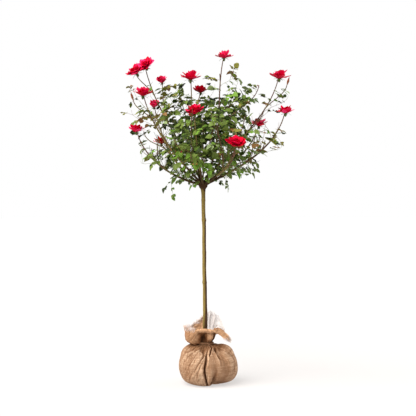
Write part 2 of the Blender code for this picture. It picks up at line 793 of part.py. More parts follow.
class Growth:
    """One mass as it grows: its limbs, the space it may use, and what has sprouted so far."""

    def __init__(self, mass, limbs, seeds, trees, kit):
        self.name = mass.name
        self.dice = random.Random(mass.name)
        self.limbs = limbs
        self.seed = seeds[mass.name]
        self.other_seeds = [seed for name, seed in seeds.items() if name != mass.name]
        self.foreign = [tree for name, tree in trees.items() if name != mass.name]
        self.kit = kit
        self.parts = []
        self.leaf_middles = []

    def free(self, points, ceiling=False):
        return all(
            in_head(point, ceiling) and in_cell(point, self.seed, self.other_seeds) for point in points
        )

    def sprout_leaf(self, root, way, size):
        """Adds a leaf, or returns False where it has no room."""
        lean = [self.dice.uniform(-LEAF_TILT, LEAF_TILT) for _ in range(2)]
        face = (UP + Vector((*lean, 0))).normalized()
        if abs(way.dot(face)) > UPRIGHT:
            return False
        matrix = leaf_matrix(root, way, face, size)
        corners = [matrix @ vertex.co for vertex in self.kit["leaf"].vertices]
        middle = root + way * size / 2
        faces = [list(polygon.vertices) for polygon in self.kit["leaf"].polygons]
        blade = BVHTree.FromPolygons(corners, faces)
        room = LEAF_LENGTH * LEAF_ROOM
        crowded = any((middle - other).length < room for other in self.leaf_middles)
        if crowded or not self.free(corners) or any(blade.overlap(tree) for tree in self.foreign):
            return False
        self.leaf_middles.append(middle)
        self.add(self.kit["leaf"], matrix)
        return True

    def add(self, mesh, matrix):
        made = bpy.data.objects.new(f"{self.name}_{len(self.parts)}", mesh)
        made.matrix_world = matrix
        self.kit["group"].objects.link(made)
        self.parts.append(made)

    def dress(self, limb, start, end, size):
        """Leaves set in turn round a limb between two distances along it."""
        turn = self.dice.uniform(0, math.tau)
        distance = start
        while distance < end:
            root, along = point_along(limb.points, distance)
            for _ in range(LEAF_TRIES):
                turn += GOLDEN_ANGLE
                way = leaf_way(along, turn, LEAF_STANCE)
                if self.sprout_leaf(root, way, size * self.dice.uniform(*LEAF_SIZES)):
                    break
            distance += LEAF_STEP * self.dice.uniform(*UNEVEN)

    def sprout_spur(self, root, along, turn):
        """A short side twig with a few leaves, left out where it has no room."""
        length = self.dice.uniform(*SPUR_LENGTHS)
        across = along.orthogonal().normalized()
        across.rotate(Matrix.Rotation(turn, 3, along))
        way = (along / 2 + across).normalized()
        tip = root + way * length + UP * length / 4
        points = bezier(root, root + way * length / 3, tip - (UP + way) * length / 5, tip, 2)
        near = min(tree.find_nearest(point)[3] for tree in self.foreign for point in points[1:])
        if not self.free(points[1:], ceiling=True) or near < 2 * max(SPUR_RADII):
            return
        spur = Limb(points, SPUR_RADII, 0, UP)
        self.limbs.append(spur)
        self.dress(spur, length / 2, length, SPUR_LEAF_LENGTH)
        self.end_leaf(spur, turn)

    def end_leaf(self, limb, turn):
        end = (limb.points[-1] - limb.points[-2]).normalized()
        way = leaf_way(end, turn, END_LEAF_STANCE)
        self.sprout_leaf(limb.points[-1] - end * TIP_STALK / 2, way, LEAF_LENGTH)

    def grow(self):
        for limb in list(self.limbs):
            whole = lengths_along(limb.points)[-1]
            stalk = BLOOM_STALK if limb.bloom > 0 else TIP_STALK
            turn = self.dice.uniform(0, math.tau)
            distance = FIRST_SPUR
            while distance < min(whole * SPUR_REACH, whole - stalk):
                self.sprout_spur(*point_along(limb.points, distance), turn)
                turn += GOLDEN_ANGLE
                distance += SPUR_STEP * self.dice.uniform(*UNEVEN)
            self.dress(limb, FIRST_LEAF, whole - stalk, LEAF_LENGTH)
            end, along = point_along(limb.points, whole)
            if limb.bloom > 0:
                turned = UP.rotation_difference(limb.nod).to_matrix().to_4x4()
                scale = Matrix.Scale(limb.bloom / 2, 4)
                self.add(self.kit["bloom"], Matrix.Translation(end) @ turned @ scale)
            elif limb.bloom < 0:
                turned = UP.rotation_difference(along).to_matrix().to_4x4()
                self.add(self.kit["bud"], Matrix.Translation(end) @ turned @ Matrix.Scale(-limb.bloom, 4))
            else:
                self.end_leaf(limb, turn)


def keep_largest_body(mesh):
    """Drops every surface but the main one, such as a sealed hollow's or a loose scrap's."""
    shape = bmesh.new()
    shape.from_mesh(mesh)
    left = set(shape.verts)
    bodies = []
    while left:
        body = {left.pop()}
        edge = set(body)
        while edge:
            edge = {e.other_vert(v) for v in edge for e in v.link_edges} & left
            left -= edge
            body |= edge
        bodies.append(body)
    bodies.sort(key=len)
    loose = [vertex for body in bodies[:-1] for vertex in body]
    bmesh.ops.delete(shape, geom=loose, context="VERTS")
    shape.to_mesh(mesh)
    shape.free()


def build_mass(mass, growth, sections, cutters, colours, group):
    """Fuses a mass's canes, leaves and blooms into one solid."""
    growth.grow()
    work = growth.kit["group"]
    tubes = [
        tube(f"{mass.name}_cane_{i}", limb.points, limb.radii, sections[4 if i == 0 else 3], work)
        for i, limb in enumerate(growth.limbs)
    ]
    canes = solid_meshes(tubes, work, colours["cane"])
    main = canes[0]
    work.objects.unlink(main)
    group.objects.link(main)
    main.name = mass.name
    joined = {"operand_type": "COLLECTION", "collection": work, "use_self": True}
    boolean(main, "UNION", solver="EXACT", material_mode="TRANSFER", **joined)
    if mass.fork < 1:
        boolean(main, "DIFFERENCE", object=cutters[mass.bough], solver="EXACT")
    keep_largest_body(main.data)
    for used in list(work.objects):
        bpy.data.objects.remove(used)


def build_head(sections, helpers, colours, group):
    limbs = {mass.name: mass_limbs(mass) for mass in MASSES}
    boughs = {name: bough_limb(bough) for name, bough in BOUGHS.items()}
    seeds = {name: cell_seed(grown) for name, grown in limbs.items()}
    trees = {name: guard_tree(grown, sections[6], helpers) for name, grown in limbs.items()}
    trees["boughs"] = guard_tree(list(boughs.values()), sections[6], helpers)

    union = stem_tube("union_cutter", CLEARANCE, sections[STEM_SIDES], helpers)
    union = solid_meshes([union], helpers, colours["bark"])[0]
    union.hide_render = True
    union.display_type = "WIRE"
    tubes = [tube(name, limb.points, limb.radii, sections[6], group) for name, limb in boughs.items()]
    for bough in solid_meshes(tubes, group, colours["bark"]):
        boolean(bough, "DIFFERENCE", object=union, solver="EXACT")

    cutters = {}
    for mass in MASSES:
        if mass.fork < 1:
            limb = boughs[mass.bough]
            swollen = [radius + CLEARANCE for radius in limb.radii]
            cutter = tube(f"{mass.bough}_cutter", limb.points, swollen, sections[6], helpers)
            cutters[mass.bough] = solid_meshes([cutter], helpers, colours["bark"])[0]
            cutters[mass.bough].hide_render = True
            cutters[mass.bough].display_type = "WIRE"

    work = collection("joining")
    kit = {
        "leaf": leaf_mesh(colours["leaf"]),
        "bloom": bloom_mesh(colours["petal"]),
        "bud": bud_mesh(colours["petal"]),
        "group": work,
    }
    for mass in MASSES:
        growth = Growth(mass, limbs[mass.name], seeds, trees, kit)
        build_mass(mass, growth, sections, cutters, colours, group)
    bpy.data.collections.remove(work)


def main():
    clear_scene()
    rose = collection("standard_rose")
    helpers = collection("helpers")
    colours = {
        "burlap": finish("burlap", (0.42, 0.27, 0.15), 0.95),
        "twine": finish("twine", (0.40, 0.25, 0.13), 0.9),
        "bark": finish("stem_bark", (0.23, 0.19, 0.07), 0.75),
        "cane": finish("cane_bark", (0.22, 0.20, 0.08), 0.65),
        "leaf": finish("foliage", (0.09, 0.18, 0.04), 0.5),
        "petal": finish("petals", (0.70, 0.01, 0.05), 0.55),
    }
    sections = {sides: section(sides, helpers) for sides in (3, 4, 6, STEM_SIDES)}

    ball = build_root_ball(colours["burlap"], rose)
    collar = build_collar(colours["burlap"], rose)
    build_twine(colours["twine"], rose)
    bore = stem_tube("stem_bore", CLEARANCE, sections[STEM_SIDES], helpers)
    bore = solid_meshes([bore], helpers, colours["bark"])[0]
    bore.hide_render = True
    bore.display_type = "WIRE"
    boolean(ball, "DIFFERENCE", object=bore, solver="EXACT")
    boolean(collar, "DIFFERENCE", object=bore, solver="EXACT")
    stem = stem_tube("stem", 0, sections[STEM_SIDES], rose)
    solid_meshes([stem], rose, colours["bark"])

    build_head(sections, helpers, colours, rose)
    for made in rose.objects:
        made.data.shade_smooth()
        made.data.set_sharp_from_angle(angle=math.radians(40))


main()
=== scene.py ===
"""Looks of a standard rose on its root ball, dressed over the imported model.

Units are metres, +Z is up and the front is -Y. The origin is on the ball's flat underside.
"""
import math
import random
from typing import NamedTuple

import bmesh
import bpy
import numpy as np
from mathutils import Matrix, Vector, kdtree, noise


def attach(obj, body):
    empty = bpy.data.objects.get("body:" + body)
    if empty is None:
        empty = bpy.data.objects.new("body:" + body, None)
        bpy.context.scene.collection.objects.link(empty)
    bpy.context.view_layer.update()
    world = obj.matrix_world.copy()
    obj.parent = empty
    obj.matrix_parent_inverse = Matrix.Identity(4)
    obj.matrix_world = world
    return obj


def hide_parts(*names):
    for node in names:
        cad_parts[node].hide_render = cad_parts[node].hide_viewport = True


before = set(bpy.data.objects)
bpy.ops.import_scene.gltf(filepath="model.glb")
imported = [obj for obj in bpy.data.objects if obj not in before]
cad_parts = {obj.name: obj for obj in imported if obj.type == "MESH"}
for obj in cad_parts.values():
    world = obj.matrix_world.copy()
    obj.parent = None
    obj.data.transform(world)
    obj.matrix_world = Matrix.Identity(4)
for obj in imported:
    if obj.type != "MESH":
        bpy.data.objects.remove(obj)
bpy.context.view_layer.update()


# Studio
# A pale floor that runs off to a white surround, one broad key light from the upper left and
# the surround itself as fill. None of it belongs to the plant.

CAMERA_PLACE = (0.012, -4.0, 0.79)
VIEW_WIDTH = 1.872  # seen across the plant's middle
SENSOR = 36.0  # millimetres
FILL_LIGHT = 0.46
SUNS = (
    # name, strength, breadth in degrees, colour, and the side that it shines from
    ("key", 5.7, 66, (1.0, 0.985, 0.96), (-0.62, -0.62, 0.85)),
    ("bounce", 1.5, 70, (1.0, 1.0, 1.0), (0.90, 0.10, 0.28)),
)
FLOOR_SIZE = 120.0
FLOOR_COLOUR = (0.288, 0.276, 0.270)
FLOOR_GLOW = 0.555  # keeps the plant's own shadow faint
FLOOR_GLOW_COLOUR = (1.0, 0.982, 0.965)


def put_in_scene(name, data):
    made = bpy.data.objects.new(name, data)
    bpy.context.scene.collection.objects.link(made)
    return made


def shader_node(tree, kind, sockets=None, **settings):
    """A node with its settings, and its sockets linked or set."""
    made = tree.nodes.new(kind)
    for name, value in settings.items():
        setattr(made, name, value)
    for name, value in (sockets or {}).items():
        if isinstance(value, bpy.types.NodeSocket):
            tree.links.new(value, made.inputs[name])
        else:
            made.inputs[name].default_value = value
    return made


def remap(tree, value, low, high, at_low, at_high):
    """The value, rescaled so that low and high become at_low and at_high, and held beyond them."""
    ends = {"Value": value, 1: low, 2: high, 3: at_low, 4: at_high}
    return shader_node(tree, "ShaderNodeMapRange", ends).outputs[0]


def plain_finish(name, colour, roughness, specular=0.5):
    """A material, and its shader."""
    made = bpy.data.materials.new(name)
    made.use_nodes = True
    shader = made.node_tree.nodes["Principled BSDF"]
    shader.inputs["Base Color"].default_value = (*colour, 1)
    shader.inputs["Roughness"].default_value = roughness
    shader.inputs["Specular IOR Level"].default_value = specular
    return made, shader


view = bpy.data.cameras.new("camera")
view.sensor_width = SENSOR
view.lens = SENSOR * -CAMERA_PLACE[1] / VIEW_WIDTH
camera = put_in_scene("camera", view)
camera.location = CAMERA_PLACE
camera.rotation_euler = (math.radians(90), 0, 0)
bpy.context.scene.camera = camera
bpy.context.scene.view_settings.view_transform = "Standard"

surround = bpy.data.worlds.new("surround")
surround.use_nodes = True
backdrop = surround.node_tree.nodes["Background"]
backdrop.inputs["Color"].default_value = (1, 1, 1, 1)
seen = shader_node(surround.node_tree, "ShaderNodeLightPath").outputs["Is Camera Ray"]
fill = remap(surround.node_tree, seen, 0, 1, FILL_LIGHT, 1.0)
surround.node_tree.links.new(fill, backdrop.inputs["Strength"])
bpy.context.scene.world = surround

for name, strength, breadth, colour, side in SUNS:
    sun = bpy.data.lights.new(name, "SUN")
    sun.energy = strength
    sun.angle = math.radians(breadth)
    sun.color = colour
    put_in_scene(name, sun).rotation_euler = Vector(side).to_track_quat("Z", "Y").to_euler()

floor_sheet = bpy.data.meshes.new("floor")
edge = FLOOR_SIZE / 2
floor_sheet.from_pydata(
    [(-edge, -edge, 0), (edge, -edge, 0), (edge, edge, 0), (-edge, edge, 0)], [], [(0, 1, 2, 3)]
)
floor_paint, floor_shader = plain_finish("floor_paint", FLOOR_COLOUR, 0.8, 0.0)
floor_shader.inputs["Emission Color"].default_value = (*FLOOR_GLOW_COLOUR, 1)
floor_shader.inputs["Emission Strength"].default_value = FLOOR_GLOW
floor_sheet.materials.append(floor_paint)
floor = put_in_scene("floor", floor_sheet)


# Root ball
# The soil that the roots grew in, wrapped in a square of coarse jute burlap. The cloth is drawn
# up round it and gathered at the neck, so that its slack lies in creases running down from the tie.

BALL_RADIUS = 0.130
BALL_MIDDLE = 0.080  # height of the widest level
BALL_HALF_HEIGHT = 0.104
BALL_OFFSET = 0.011  # the ball sags to +X of the stem
BALL_FULLNESS = (0.68, 0.80)  # of the lower and upper halves; under 1 squares the section off
BALL_OVAL = 0.025
BALL_OVAL_TURN = 20  # degrees
BALL_TOP_ANGLE = 62  # degrees
NECK_HEIGHT = 0.176
SAG_END = 0.6  # share of the height above which the ball comes back to the stem's axis
SHOULDER = (
    # radius and height, from the ball's shoulder up the gathered neck and in to the stem
    (0.060, 0.1752), (0.046, 0.1782), (0.0372, 0.1806), (0.0338, 0.1840), (0.0332, 0.1880),
    (0.0342, 0.1930), (0.0330, 0.1975), (0.0270, 0.1985), (0.0190, 0.1960), (0.0100, 0.1940),
    (0.0, 0.1935),
)
BALL_COLUMNS = 500
BALL_ROWS = 190
UNDERSIDE_ROWS = 7
LOBES = (
    # azimuth and width in degrees, depth at the shoulder and at the foot, of each main crease
    (266, 7, 0.012, 0.013), (287, 9, 0.004, 0.013), (311, 12, 0.020, 0.001),
    (348, 10, 0.007, 0.002), (28, 9, 0.009, 0.006), (70, 11, 0.012, 0.003),
    (108, 8, 0.007, 0.009), (147, 10, 0.013, 0.002), (186, 9, 0.006, 0.006),
    (226, 11, 0.009, 0.001),
)
THREAD_PITCH = 0.0021
WELD_DISTANCE = 0.000002
CRINKLE_DEPTH = 0.0003
CRINKLES = ((75, 1.0), (170, 0.5))  # lumps to the metre, and their share of the depth
FOLD_REACH = 14  # columns on either side that a fold's depth is taken from
FOLD_DEPTH = 0.0075
SEAM = 108  # azimuth at which the cloth's edges meet
NECK_SHADE = 0.9  # how much darker the gathers are by the tie
LEFT_WRINKLES = 34  # on the left front lobe, on the slant
ROUND_WRINKLES = 50
NECK_GATHERS = 40
FRONT_CROWDING = 17  # degrees: the columns stand closer on the side with the slit
FOOT_ROUND = 0.030  # drawn in at the ground
FOOT_ROUND_HEIGHT = 0.011
FOOT_LIFTS = (
    # azimuth and spread, and how far the cloth is drawn up off the ground
    (300, 13, 0.012), (330, 24, 0.006),
)
FOOT_LIFT_REACH = 0.018


class Crease(NamedTuple):
    path: tuple  # (share of the height, azimuth), from the foot up
    width: float  # half width
    depth: float  # under 0 it is a ridge
    fade: float = 0.08  # share of the height over which each end dies out
    steep: float = 1.0  # 1 is a valley with sloping sides, and 3 a slit with steep ones


CREASES = [
    Crease((
        (-0.3, 268.5), (0.06, 267.4), (0.14, 265.9), (0.41, 262.6), (0.56, 263.6), (0.70, 266.5),
        (0.84, 270.5), (0.93, 275.4), (1.0, 284),
    ), 0.0034, 0.016, 0.14, 3),
    Crease(((0.46, 268.0), (0.60, 270.4), (0.72, 273.4), (0.88, 277.5)), 0.0030, -0.0065, 0.12),
    Crease((
        (0.78, 277.5), (0.83, 278.6), (0.926, 286.6), (0.99, 296), (1.05, 305),
    ), 0.0030, 0.010, 0.06, 2),
    Crease(((0.84, 284), (0.93, 291), (1.0, 302)), 0.0026, -0.004, 0.06),
    Crease((
        (0.70, 303), (0.80, 303.5), (0.928, 306.7), (0.97, 309), (1.04, 318),
    ), 0.0060, 0.016, 0.12, 2),
    Crease(((0.50, 297), (0.80, 295), (0.95, 299)), 0.0028, -0.0040, 0.14),
    Crease(((0.46, 304), (0.75, 309), (0.93, 314)), 0.0030, -0.0030, 0.12),
    Crease(((0.86, 321), (0.94, 326), (1.02, 330)), 0.0110, 0.0080, 0.08, 2),
    Crease(((0.80, 338), (0.90, 333), (1.0, 330)), 0.0040, 0.0060, 0.08),
    Crease(((-0.3, 286.5), (0.10, 286.2), (0.28, 285)), 0.0090, 0.019, 0.16, 1.3),
    Crease(((0.88, 266), (0.95, 262), (1.03, 262)), 0.0120, 0.017, 0.06, 2),
    Crease(((0.84, 222), (0.92, 236), (1.0, 250)), 0.0055, 0.0115, 0.06),
    Crease(((0.82, 206), (0.91, 216), (1.0, 230)), 0.0045, 0.0085, 0.06),
    Crease(((0.50, 226), (0.70, 236), (0.89, 248), (0.98, 261)), 0.0030, 0.0060, 0.12),
    Crease(((0.30, 239), (0.55, 249), (0.72, 257), (0.90, 268)), 0.0026, 0.0052, 0.14),
    Crease(((0.58, 213), (0.76, 220), (0.90, 229), (1.0, 240)), 0.0030, 0.0055, 0.10),
    Crease(((0.14, 245), (0.45, 252), (0.74, 262)), 0.0024, 0.0045, 0.16),
    Crease(((0.52, 246), (0.72, 256), (0.86, 265), (0.95, 272)), 0.0022, 0.0042, 0.12),
    Crease(((0.22, 342), (0.45, 346), (0.68, 348), (0.88, 356)), 0.0060, -0.0055, 0.16),
    Crease(((0.18, 334), (0.45, 337), (0.80, 341)), 0.0036, 0.0036, 0.2),
    Crease(((-0.3, 112), (1.05, 112)), 0.0030, 0.0090, 0.10, 2),
]
HUMPS = (
    # azimuth, share of the height, spread and height of a lump under the cloth
    (357, 0.92, 0.028, 0.0190), (345, 1.0, 0.016, -0.011), (12, 1.0, 0.016, -0.009),
    (184, 0.93, 0.030, 0.008), (2, 0.22, 0.035, 0.0045), (308, 0.0, 0.045, -0.013),
    (322, 0.55, 0.045, 0.004), (240, 0.50, 0.050, 0.004), (95, 0.60, 0.050, 0.004),
    (20, 0.35, 0.045, 0.003),
)
BURLAP_LIGHT = (0.765, 0.527, 0.352)
BURLAP_DARK = (0.30, 0.166, 0.090)
BURLAP_SOIL_AND_SHADE = (0.33, 0.172, 0.088)
BURLAP_RELIEF = 0.0008
THREAD_STRAY = 2.2  # threads by which the weave wanders off true
THREAD_LIFT = 0.36  # how far one thread stands over the other where they cross
THREAD_LEVEL = 0.62
THREAD_TONES = (0.37, 0.63)  # thread thickness at which the jute is dark, and light
WEAVE_LIGHT = (0.62, 0.50)  # gained on a thread's crown, and left in the holes
FIBRE_LIGHT = (0.9, 0.55)
# painted light on the fold crests and painted warm shade down in the folds
FOLD_LIGHT = (1.24, 0.07)  # on a crest, and at the bottom of the deepest fold
FOLD_SHADE_WARMTH = (1.0, 0.72, 0.50)
SOIL_AND_SHADE_LEVELS = (0.42, 0.72)
SOIL_AND_SHADE_STRENGTH = 0.75
SHADED_SIDE_PAINT = 0.17  # painted shade on the +X side, away from the key light
RIM_LIGHT_PAINT = 0.46  # painted rim light: less soil and painted shade out at the ball's right edge


def seeded_creases(dice):
    """The lesser wrinkles, most of them fanning out as they leave the neck."""
    made = []
    for _ in range(LEFT_WRINKLES):
        top = dice.uniform(196, 268)
        rise = dice.uniform(0.40, 0.98)
        foot = max(rise - dice.uniform(0.22, 0.50), 0.05)
        slant = (rise - foot) * dice.uniform(26, 62)
        path = ((foot, top - slant), ((foot + rise) / 2, top - slant * 0.42), (rise, top))
        made.append(Crease(path, dice.uniform(0.0018, 0.0038), dice.uniform(0.0008, 0.0030), 0.14))
    for _ in range(ROUND_WRINKLES):
        top = dice.uniform(0, 360)
        rise = dice.uniform(0.35, 1.0)
        foot = max(rise - dice.uniform(0.2, 0.6), 0.03)
        path = ((foot, top + dice.uniform(-14, 14)), (rise, top))
        made.append(Crease(path, dice.uniform(0.0016, 0.0042), dice.uniform(0.0006, 0.0028), 0.18))
    for number in range(NECK_GATHERS):
        top = 360 * number / NECK_GATHERS + dice.uniform(-3, 3)
        drift = dice.uniform(-6, 6)
        path = ((dice.uniform(0.74, 0.90), top + drift), (1.20, top))
        made.append(Crease(path, dice.uniform(0.0014, 0.0026), dice.uniform(0.0020, 0.0050), 0.10))
    return made


def smooth_step(low, high, value):
    share = np.clip((value - low) / (high - low), 0, 1)
    return share * share * (3 - 2 * share)


def turn_from(azimuth, azimuths):
    """Degrees from one azimuth round to others, the shorter way."""
    return (azimuths - azimuth + 180) % 360 - 180


def bell(away, width):
    return np.exp(-((away / width) ** 2))


def on_circle(radius, turn, height):
    return radius * math.cos(turn), radius * math.sin(turn), height


def unit_rows(vectors):
    return vectors / np.linalg.norm(vectors, axis=1)[:, None]


def resample(points, count):
    """Evenly spaced points along a line, with the distance run at each."""
    points = np.asarray(points, float)
    run = np.concatenate([[0], np.cumsum(np.linalg.norm(np.diff(points, axis=0), axis=1))])
    wanted = np.linspace(0, run[-1], count)
    return np.column_stack([np.interp(wanted, run, column) for column in points.T]), wanted


def crease_sum(creases, azimuth, rise, radius):
    """How far the creases draw the cloth in, at each azimuth and share of the height."""
    total = np.zeros(np.broadcast(azimuth, rise).shape)
    for crease in creases:
        levels, turns = np.array(crease.path).T
        away = np.abs(np.radians(turn_from(np.interp(rise, levels, turns), azimuth))) * radius
        strength = smooth_step(levels[0] - 0.02, levels[0] + crease.fade, rise)
        strength = strength * (1 - smooth_step(levels[-1] - crease.fade, levels[-1] + 0.02, rise))
        rounded = np.sqrt(away**2 + (0.35 * crease.width) ** 2) - 0.35 * crease.width
        total += crease.depth * strength * np.exp(-((rounded / crease.width) ** crease.steep))
    return total


def lobe_depth(azimuth, rise):
    """The main creases between the ball's lobes, as the solid has them."""
    total = np.zeros(np.broadcast(azimuth, rise).shape)
    for turn, width, shoulder, foot in LOBES:
        here = foot + (shoulder - foot) * smooth_step(0, 1, rise)
        total += here * bell(turn_from(turn, azimuth), width)
    gather = np.maximum(smooth_step(0, 0.25, rise), 0.35) * (1 - smooth_step(0.90, 1.0, rise))
    return total * gather


def sheet_faces(rows, columns, closed=True):
    """Faces of a grid of points, joined round its columns where closed."""
    step = np.arange(columns if closed else columns - 1)
    beside = (step + 1) % columns
    faces = [
        np.column_stack([row * columns + step, row * columns + beside,
                         (row + 1) * columns + beside, (row + 1) * columns + step])
        for row in range(rows - 1)
    ]
    return np.concatenate(faces).tolist()


def valley_depth(drawn_in, reach, full):
    """From -1 on a crest to 1 in a valley, against the cloth round about."""
    padded = np.concatenate([drawn_in[:, -reach:], drawn_in, drawn_in[:, :reach]], axis=1)
    summed = np.cumsum(padded, axis=1)
    width = 2 * reach
    near = (summed[:, width:] - summed[:, :-width]) / width
    return np.clip((drawn_in - near) / full, -1, 1)


def cloth_piece(name, points, faces, threads):
    """A cloth mesh that knows where each point lies among its threads, and how deep in a fold, for
    painted shade.
    """
    mesh = bpy.data.meshes.new(name)
    mesh.from_pydata(points.tolist(), [], faces)
    lie = mesh.attributes.new("threads", "FLOAT_VECTOR", "POINT")
    lie.data.foreach_set("vector", np.asarray(threads, np.float32).ravel())
    shape = bmesh.new()
    shape.from_mesh(mesh)
    bmesh.ops.remove_doubles(shape, verts=shape.verts, dist=WELD_DISTANCE)
    shape.to_mesh(mesh)
    shape.free()
    mesh.shade_smooth()
    return put_in_scene(name, mesh)


def own_place(tree):
    return shader_node(tree, "ShaderNodeTexCoord").outputs["Object"]


def grain(tree, place, scale, detail=2.0, roughness=0.5, distortion=0.0):
    """An uneven tone between 0 and 1."""
    sockets = {"Vector": place, "Scale": scale, "Detail": detail, "Roughness": roughness}
    sockets["Distortion"] = distortion
    return shader_node(tree, "ShaderNodeTexNoise", sockets).outputs["Fac"]


def two_tones(tree, tone, positions, colours):
    """The first colour up to the first position, the second from the second on."""
    ramp = shader_node(tree, "ShaderNodeValToRGB", {"Fac": tone})
    for end, position, colour in zip(ramp.color_ramp.elements, positions, colours):
        end.position = position
        end.color = (*colour, 1)
    return ramp.outputs["Color"]


def colour_mix(tree, share, under, over, **settings):
    sockets = {0: share, 6: under, 7: (*over, 1)}
    return shader_node(tree, "ShaderNodeMix", sockets, data_type="RGBA", **settings).outputs[2]


def emboss(tree, height, relief, strength=1.0):
    """Shades the surface as if its height varied by so much."""
    sockets = {"Height": height, "Strength": strength, "Distance": relief}
    bump = shader_node(tree, "ShaderNodeBump", sockets)
    tree.links.new(bump.outputs["Normal"], tree.nodes["Principled BSDF"].inputs["Normal"])


def burlap_finish(name, light, dark, soil_and_shade_colour, relief):
    """Coarse plain weave: uneven jute threads, dark between, dirtied in clouds; painted shade in
    the folds and on the ball's +X side, painted rim light at its right edge.
    """
    made, shader = plain_finish(name, light, 0.95, 0.10)
    tree = made.node_tree

    def sum_of(operation, first, second=0.0, third=0.0):
        sockets = {0: first, 1: second, 2: third}
        return shader_node(tree, "ShaderNodeMath", sockets, operation=operation).outputs[0]

    lie = shader_node(tree, "ShaderNodeAttribute", attribute_name="threads").outputs["Vector"]
    place = own_place(tree)
    wander = {"Vector": place, "Scale": 26.0, "Detail": 1.0}
    wander = shader_node(tree, "ShaderNodeTexNoise", wander).outputs["Color"]
    bent = shader_node(
        tree, "ShaderNodeVectorMath", {0: wander, 1: (THREAD_STRAY, THREAD_STRAY, 0), 2: lie},
        operation="MULTIPLY_ADD",
    )
    split = shader_node(tree, "ShaderNodeSeparateXYZ", {"Vector": bent.outputs[0]})
    across, along, valley = split.outputs
    waves = [sum_of("COSINE", sum_of("MULTIPLY", count, math.pi)) for count in (across, along)]
    over = sum_of("MULTIPLY", *waves)
    crowns = []
    for wave, lift in zip(waves, (THREAD_LIFT, -THREAD_LIFT)):
        level = sum_of("MULTIPLY_ADD", over, lift, THREAD_LEVEL)
        crowns.append(sum_of("MULTIPLY", sum_of("ABSOLUTE", wave), level))
    weave = sum_of("SMOOTH_MAX", *crowns, 0.15)

    slubs = []
    for count, length, seed in ((across, along, 3.0), (along, across, 17.0)):
        spot = {0: sum_of("ROUND", count), 1: sum_of("MULTIPLY", length, 0.10), 2: seed}
        spot = shader_node(tree, "ShaderNodeCombineXYZ", spot).outputs[0]
        slubs.append(grain(tree, spot, 0.30, 3.0, 0.7))
    slub = sum_of("MULTIPLY", sum_of("ADD", *slubs), 0.5)
    fibre = grain(tree, place, 380.0, 3.0, 0.7)
    cloud = grain(tree, place, 17.0, 5.0, 0.65)

    thread = two_tones(tree, slub, THREAD_TONES, (dark, light))
    where = shader_node(tree, "ShaderNodeSeparateXYZ", {"Vector": place})
    # painted shade on the ball's +X side and painted rim light at its right edge, added to the soil
    # clouds
    shaded_side = remap(tree, where.outputs["X"], -0.03, 0.07, 0, SHADED_SIDE_PAINT)
    rim_light = remap(tree, where.outputs["X"], 0.080, 0.136, 0, RIM_LIGHT_PAINT)
    on_ball = remap(tree, where.outputs["Z"], 0.165, 0.19, 1, 0)
    soil_and_shade = sum_of("MULTIPLY_ADD", sum_of("SUBTRACT", shaded_side, rim_light), on_ball, cloud)
    soiled_and_shaded = colour_mix(tree, remap(tree, soil_and_shade, *SOIL_AND_SHADE_LEVELS, 0.0, SOIL_AND_SHADE_STRENGTH), thread, soil_and_shade_colour)
    shade = sum_of("MULTIPLY_ADD", weave, *WEAVE_LIGHT)
    shade = sum_of("MULTIPLY", shade, sum_of("MULTIPLY_ADD", fibre, *FIBRE_LIGHT))
    # painted light on the crests and painted shade in the folds, warmed where they are deepest
    shade = sum_of("MULTIPLY", shade, remap(tree, valley, -1, 1.8, *FOLD_LIGHT))
    darker = shader_node(
        tree, "ShaderNodeVectorMath", {0: soiled_and_shaded, "Scale": shade}, operation="SCALE"
    )
    deep = remap(tree, valley, -0.3, 1.1, 0.0, 1.0)
    warm_shaded = colour_mix(tree, deep, darker.outputs[0], FOLD_SHADE_WARMTH, blend_type="MULTIPLY")
    tree.links.new(warm_shaded, shader.inputs["Base Color"])
    emboss(tree, sum_of("MULTIPLY_ADD", fibre, 0.35, weave), relief)
    return made


foot_angle = math.asin(-BALL_MIDDLE / BALL_HALF_HEIGHT)
sweep = np.linspace(foot_angle, math.radians(BALL_TOP_ANGLE), 60)
fullness = np.where(sweep > 0, BALL_FULLNESS[1], BALL_FULLNESS[0])
ball_side = np.column_stack(
    [BALL_RADIUS * np.cos(sweep) ** fullness, BALL_MIDDLE + BALL_HALF_HEIGHT * np.sin(sweep)]
)
ball_side[:, 0] -= FOOT_ROUND * np.exp(-ball_side[:, 1] / FOOT_ROUND_HEIGHT)
profile, cloth_run = resample(np.vstack([ball_side, SHOULDER]), BALL_ROWS)
slope = unit_rows(np.gradient(profile, axis=0))
azimuths = SEAM + np.arange(BALL_COLUMNS) * 360 / BALL_COLUMNS
azimuths -= FRONT_CROWDING * np.sin(np.radians(azimuths - 270))
turns = np.radians(azimuths)
rise = (profile[:, 1] / NECK_HEIGHT)[:, None]
radius = profile[:, 0][:, None]

creases = CREASES + seeded_creases(random.Random("burlap"))
drawn_in = lobe_depth(azimuths, rise)
drawn_in += crease_sum(creases, azimuths, rise, np.maximum(radius, 0.012))
for turn, level, spread, height in HUMPS:
    aside = np.radians(turn_from(turn, azimuths)) * radius
    above = (rise - level) * NECK_HEIGHT
    lump = np.exp(-(aside**2 + above**2) / spread**2)
    drawn_in -= height * lump * (1 - smooth_step(0.99, 1.03, rise))
drawn_in *= smooth_step(0.0, 0.030, radius)
oval = np.cos(np.radians(2 * azimuths - BALL_OVAL_TURN)) * (1 - smooth_step(0.85, 1.0, rise))
reach = radius * (1 + BALL_OVAL * oval) - drawn_in * slope[:, 1][:, None]
level = profile[:, 1][:, None] + drawn_in * slope[:, 0][:, None]
for row in range(BALL_ROWS):
    for column in range(BALL_COLUMNS):
        spot = Vector(on_circle(reach[row, column], turns[column], level[row, column]))
        crinkle = sum(share * noise.noise(spot * scale) for scale, share in CRINKLES)
        reach[row, column] += crinkle * CRINKLE_DEPTH * min(1.0, radius[row, 0] / 0.04)

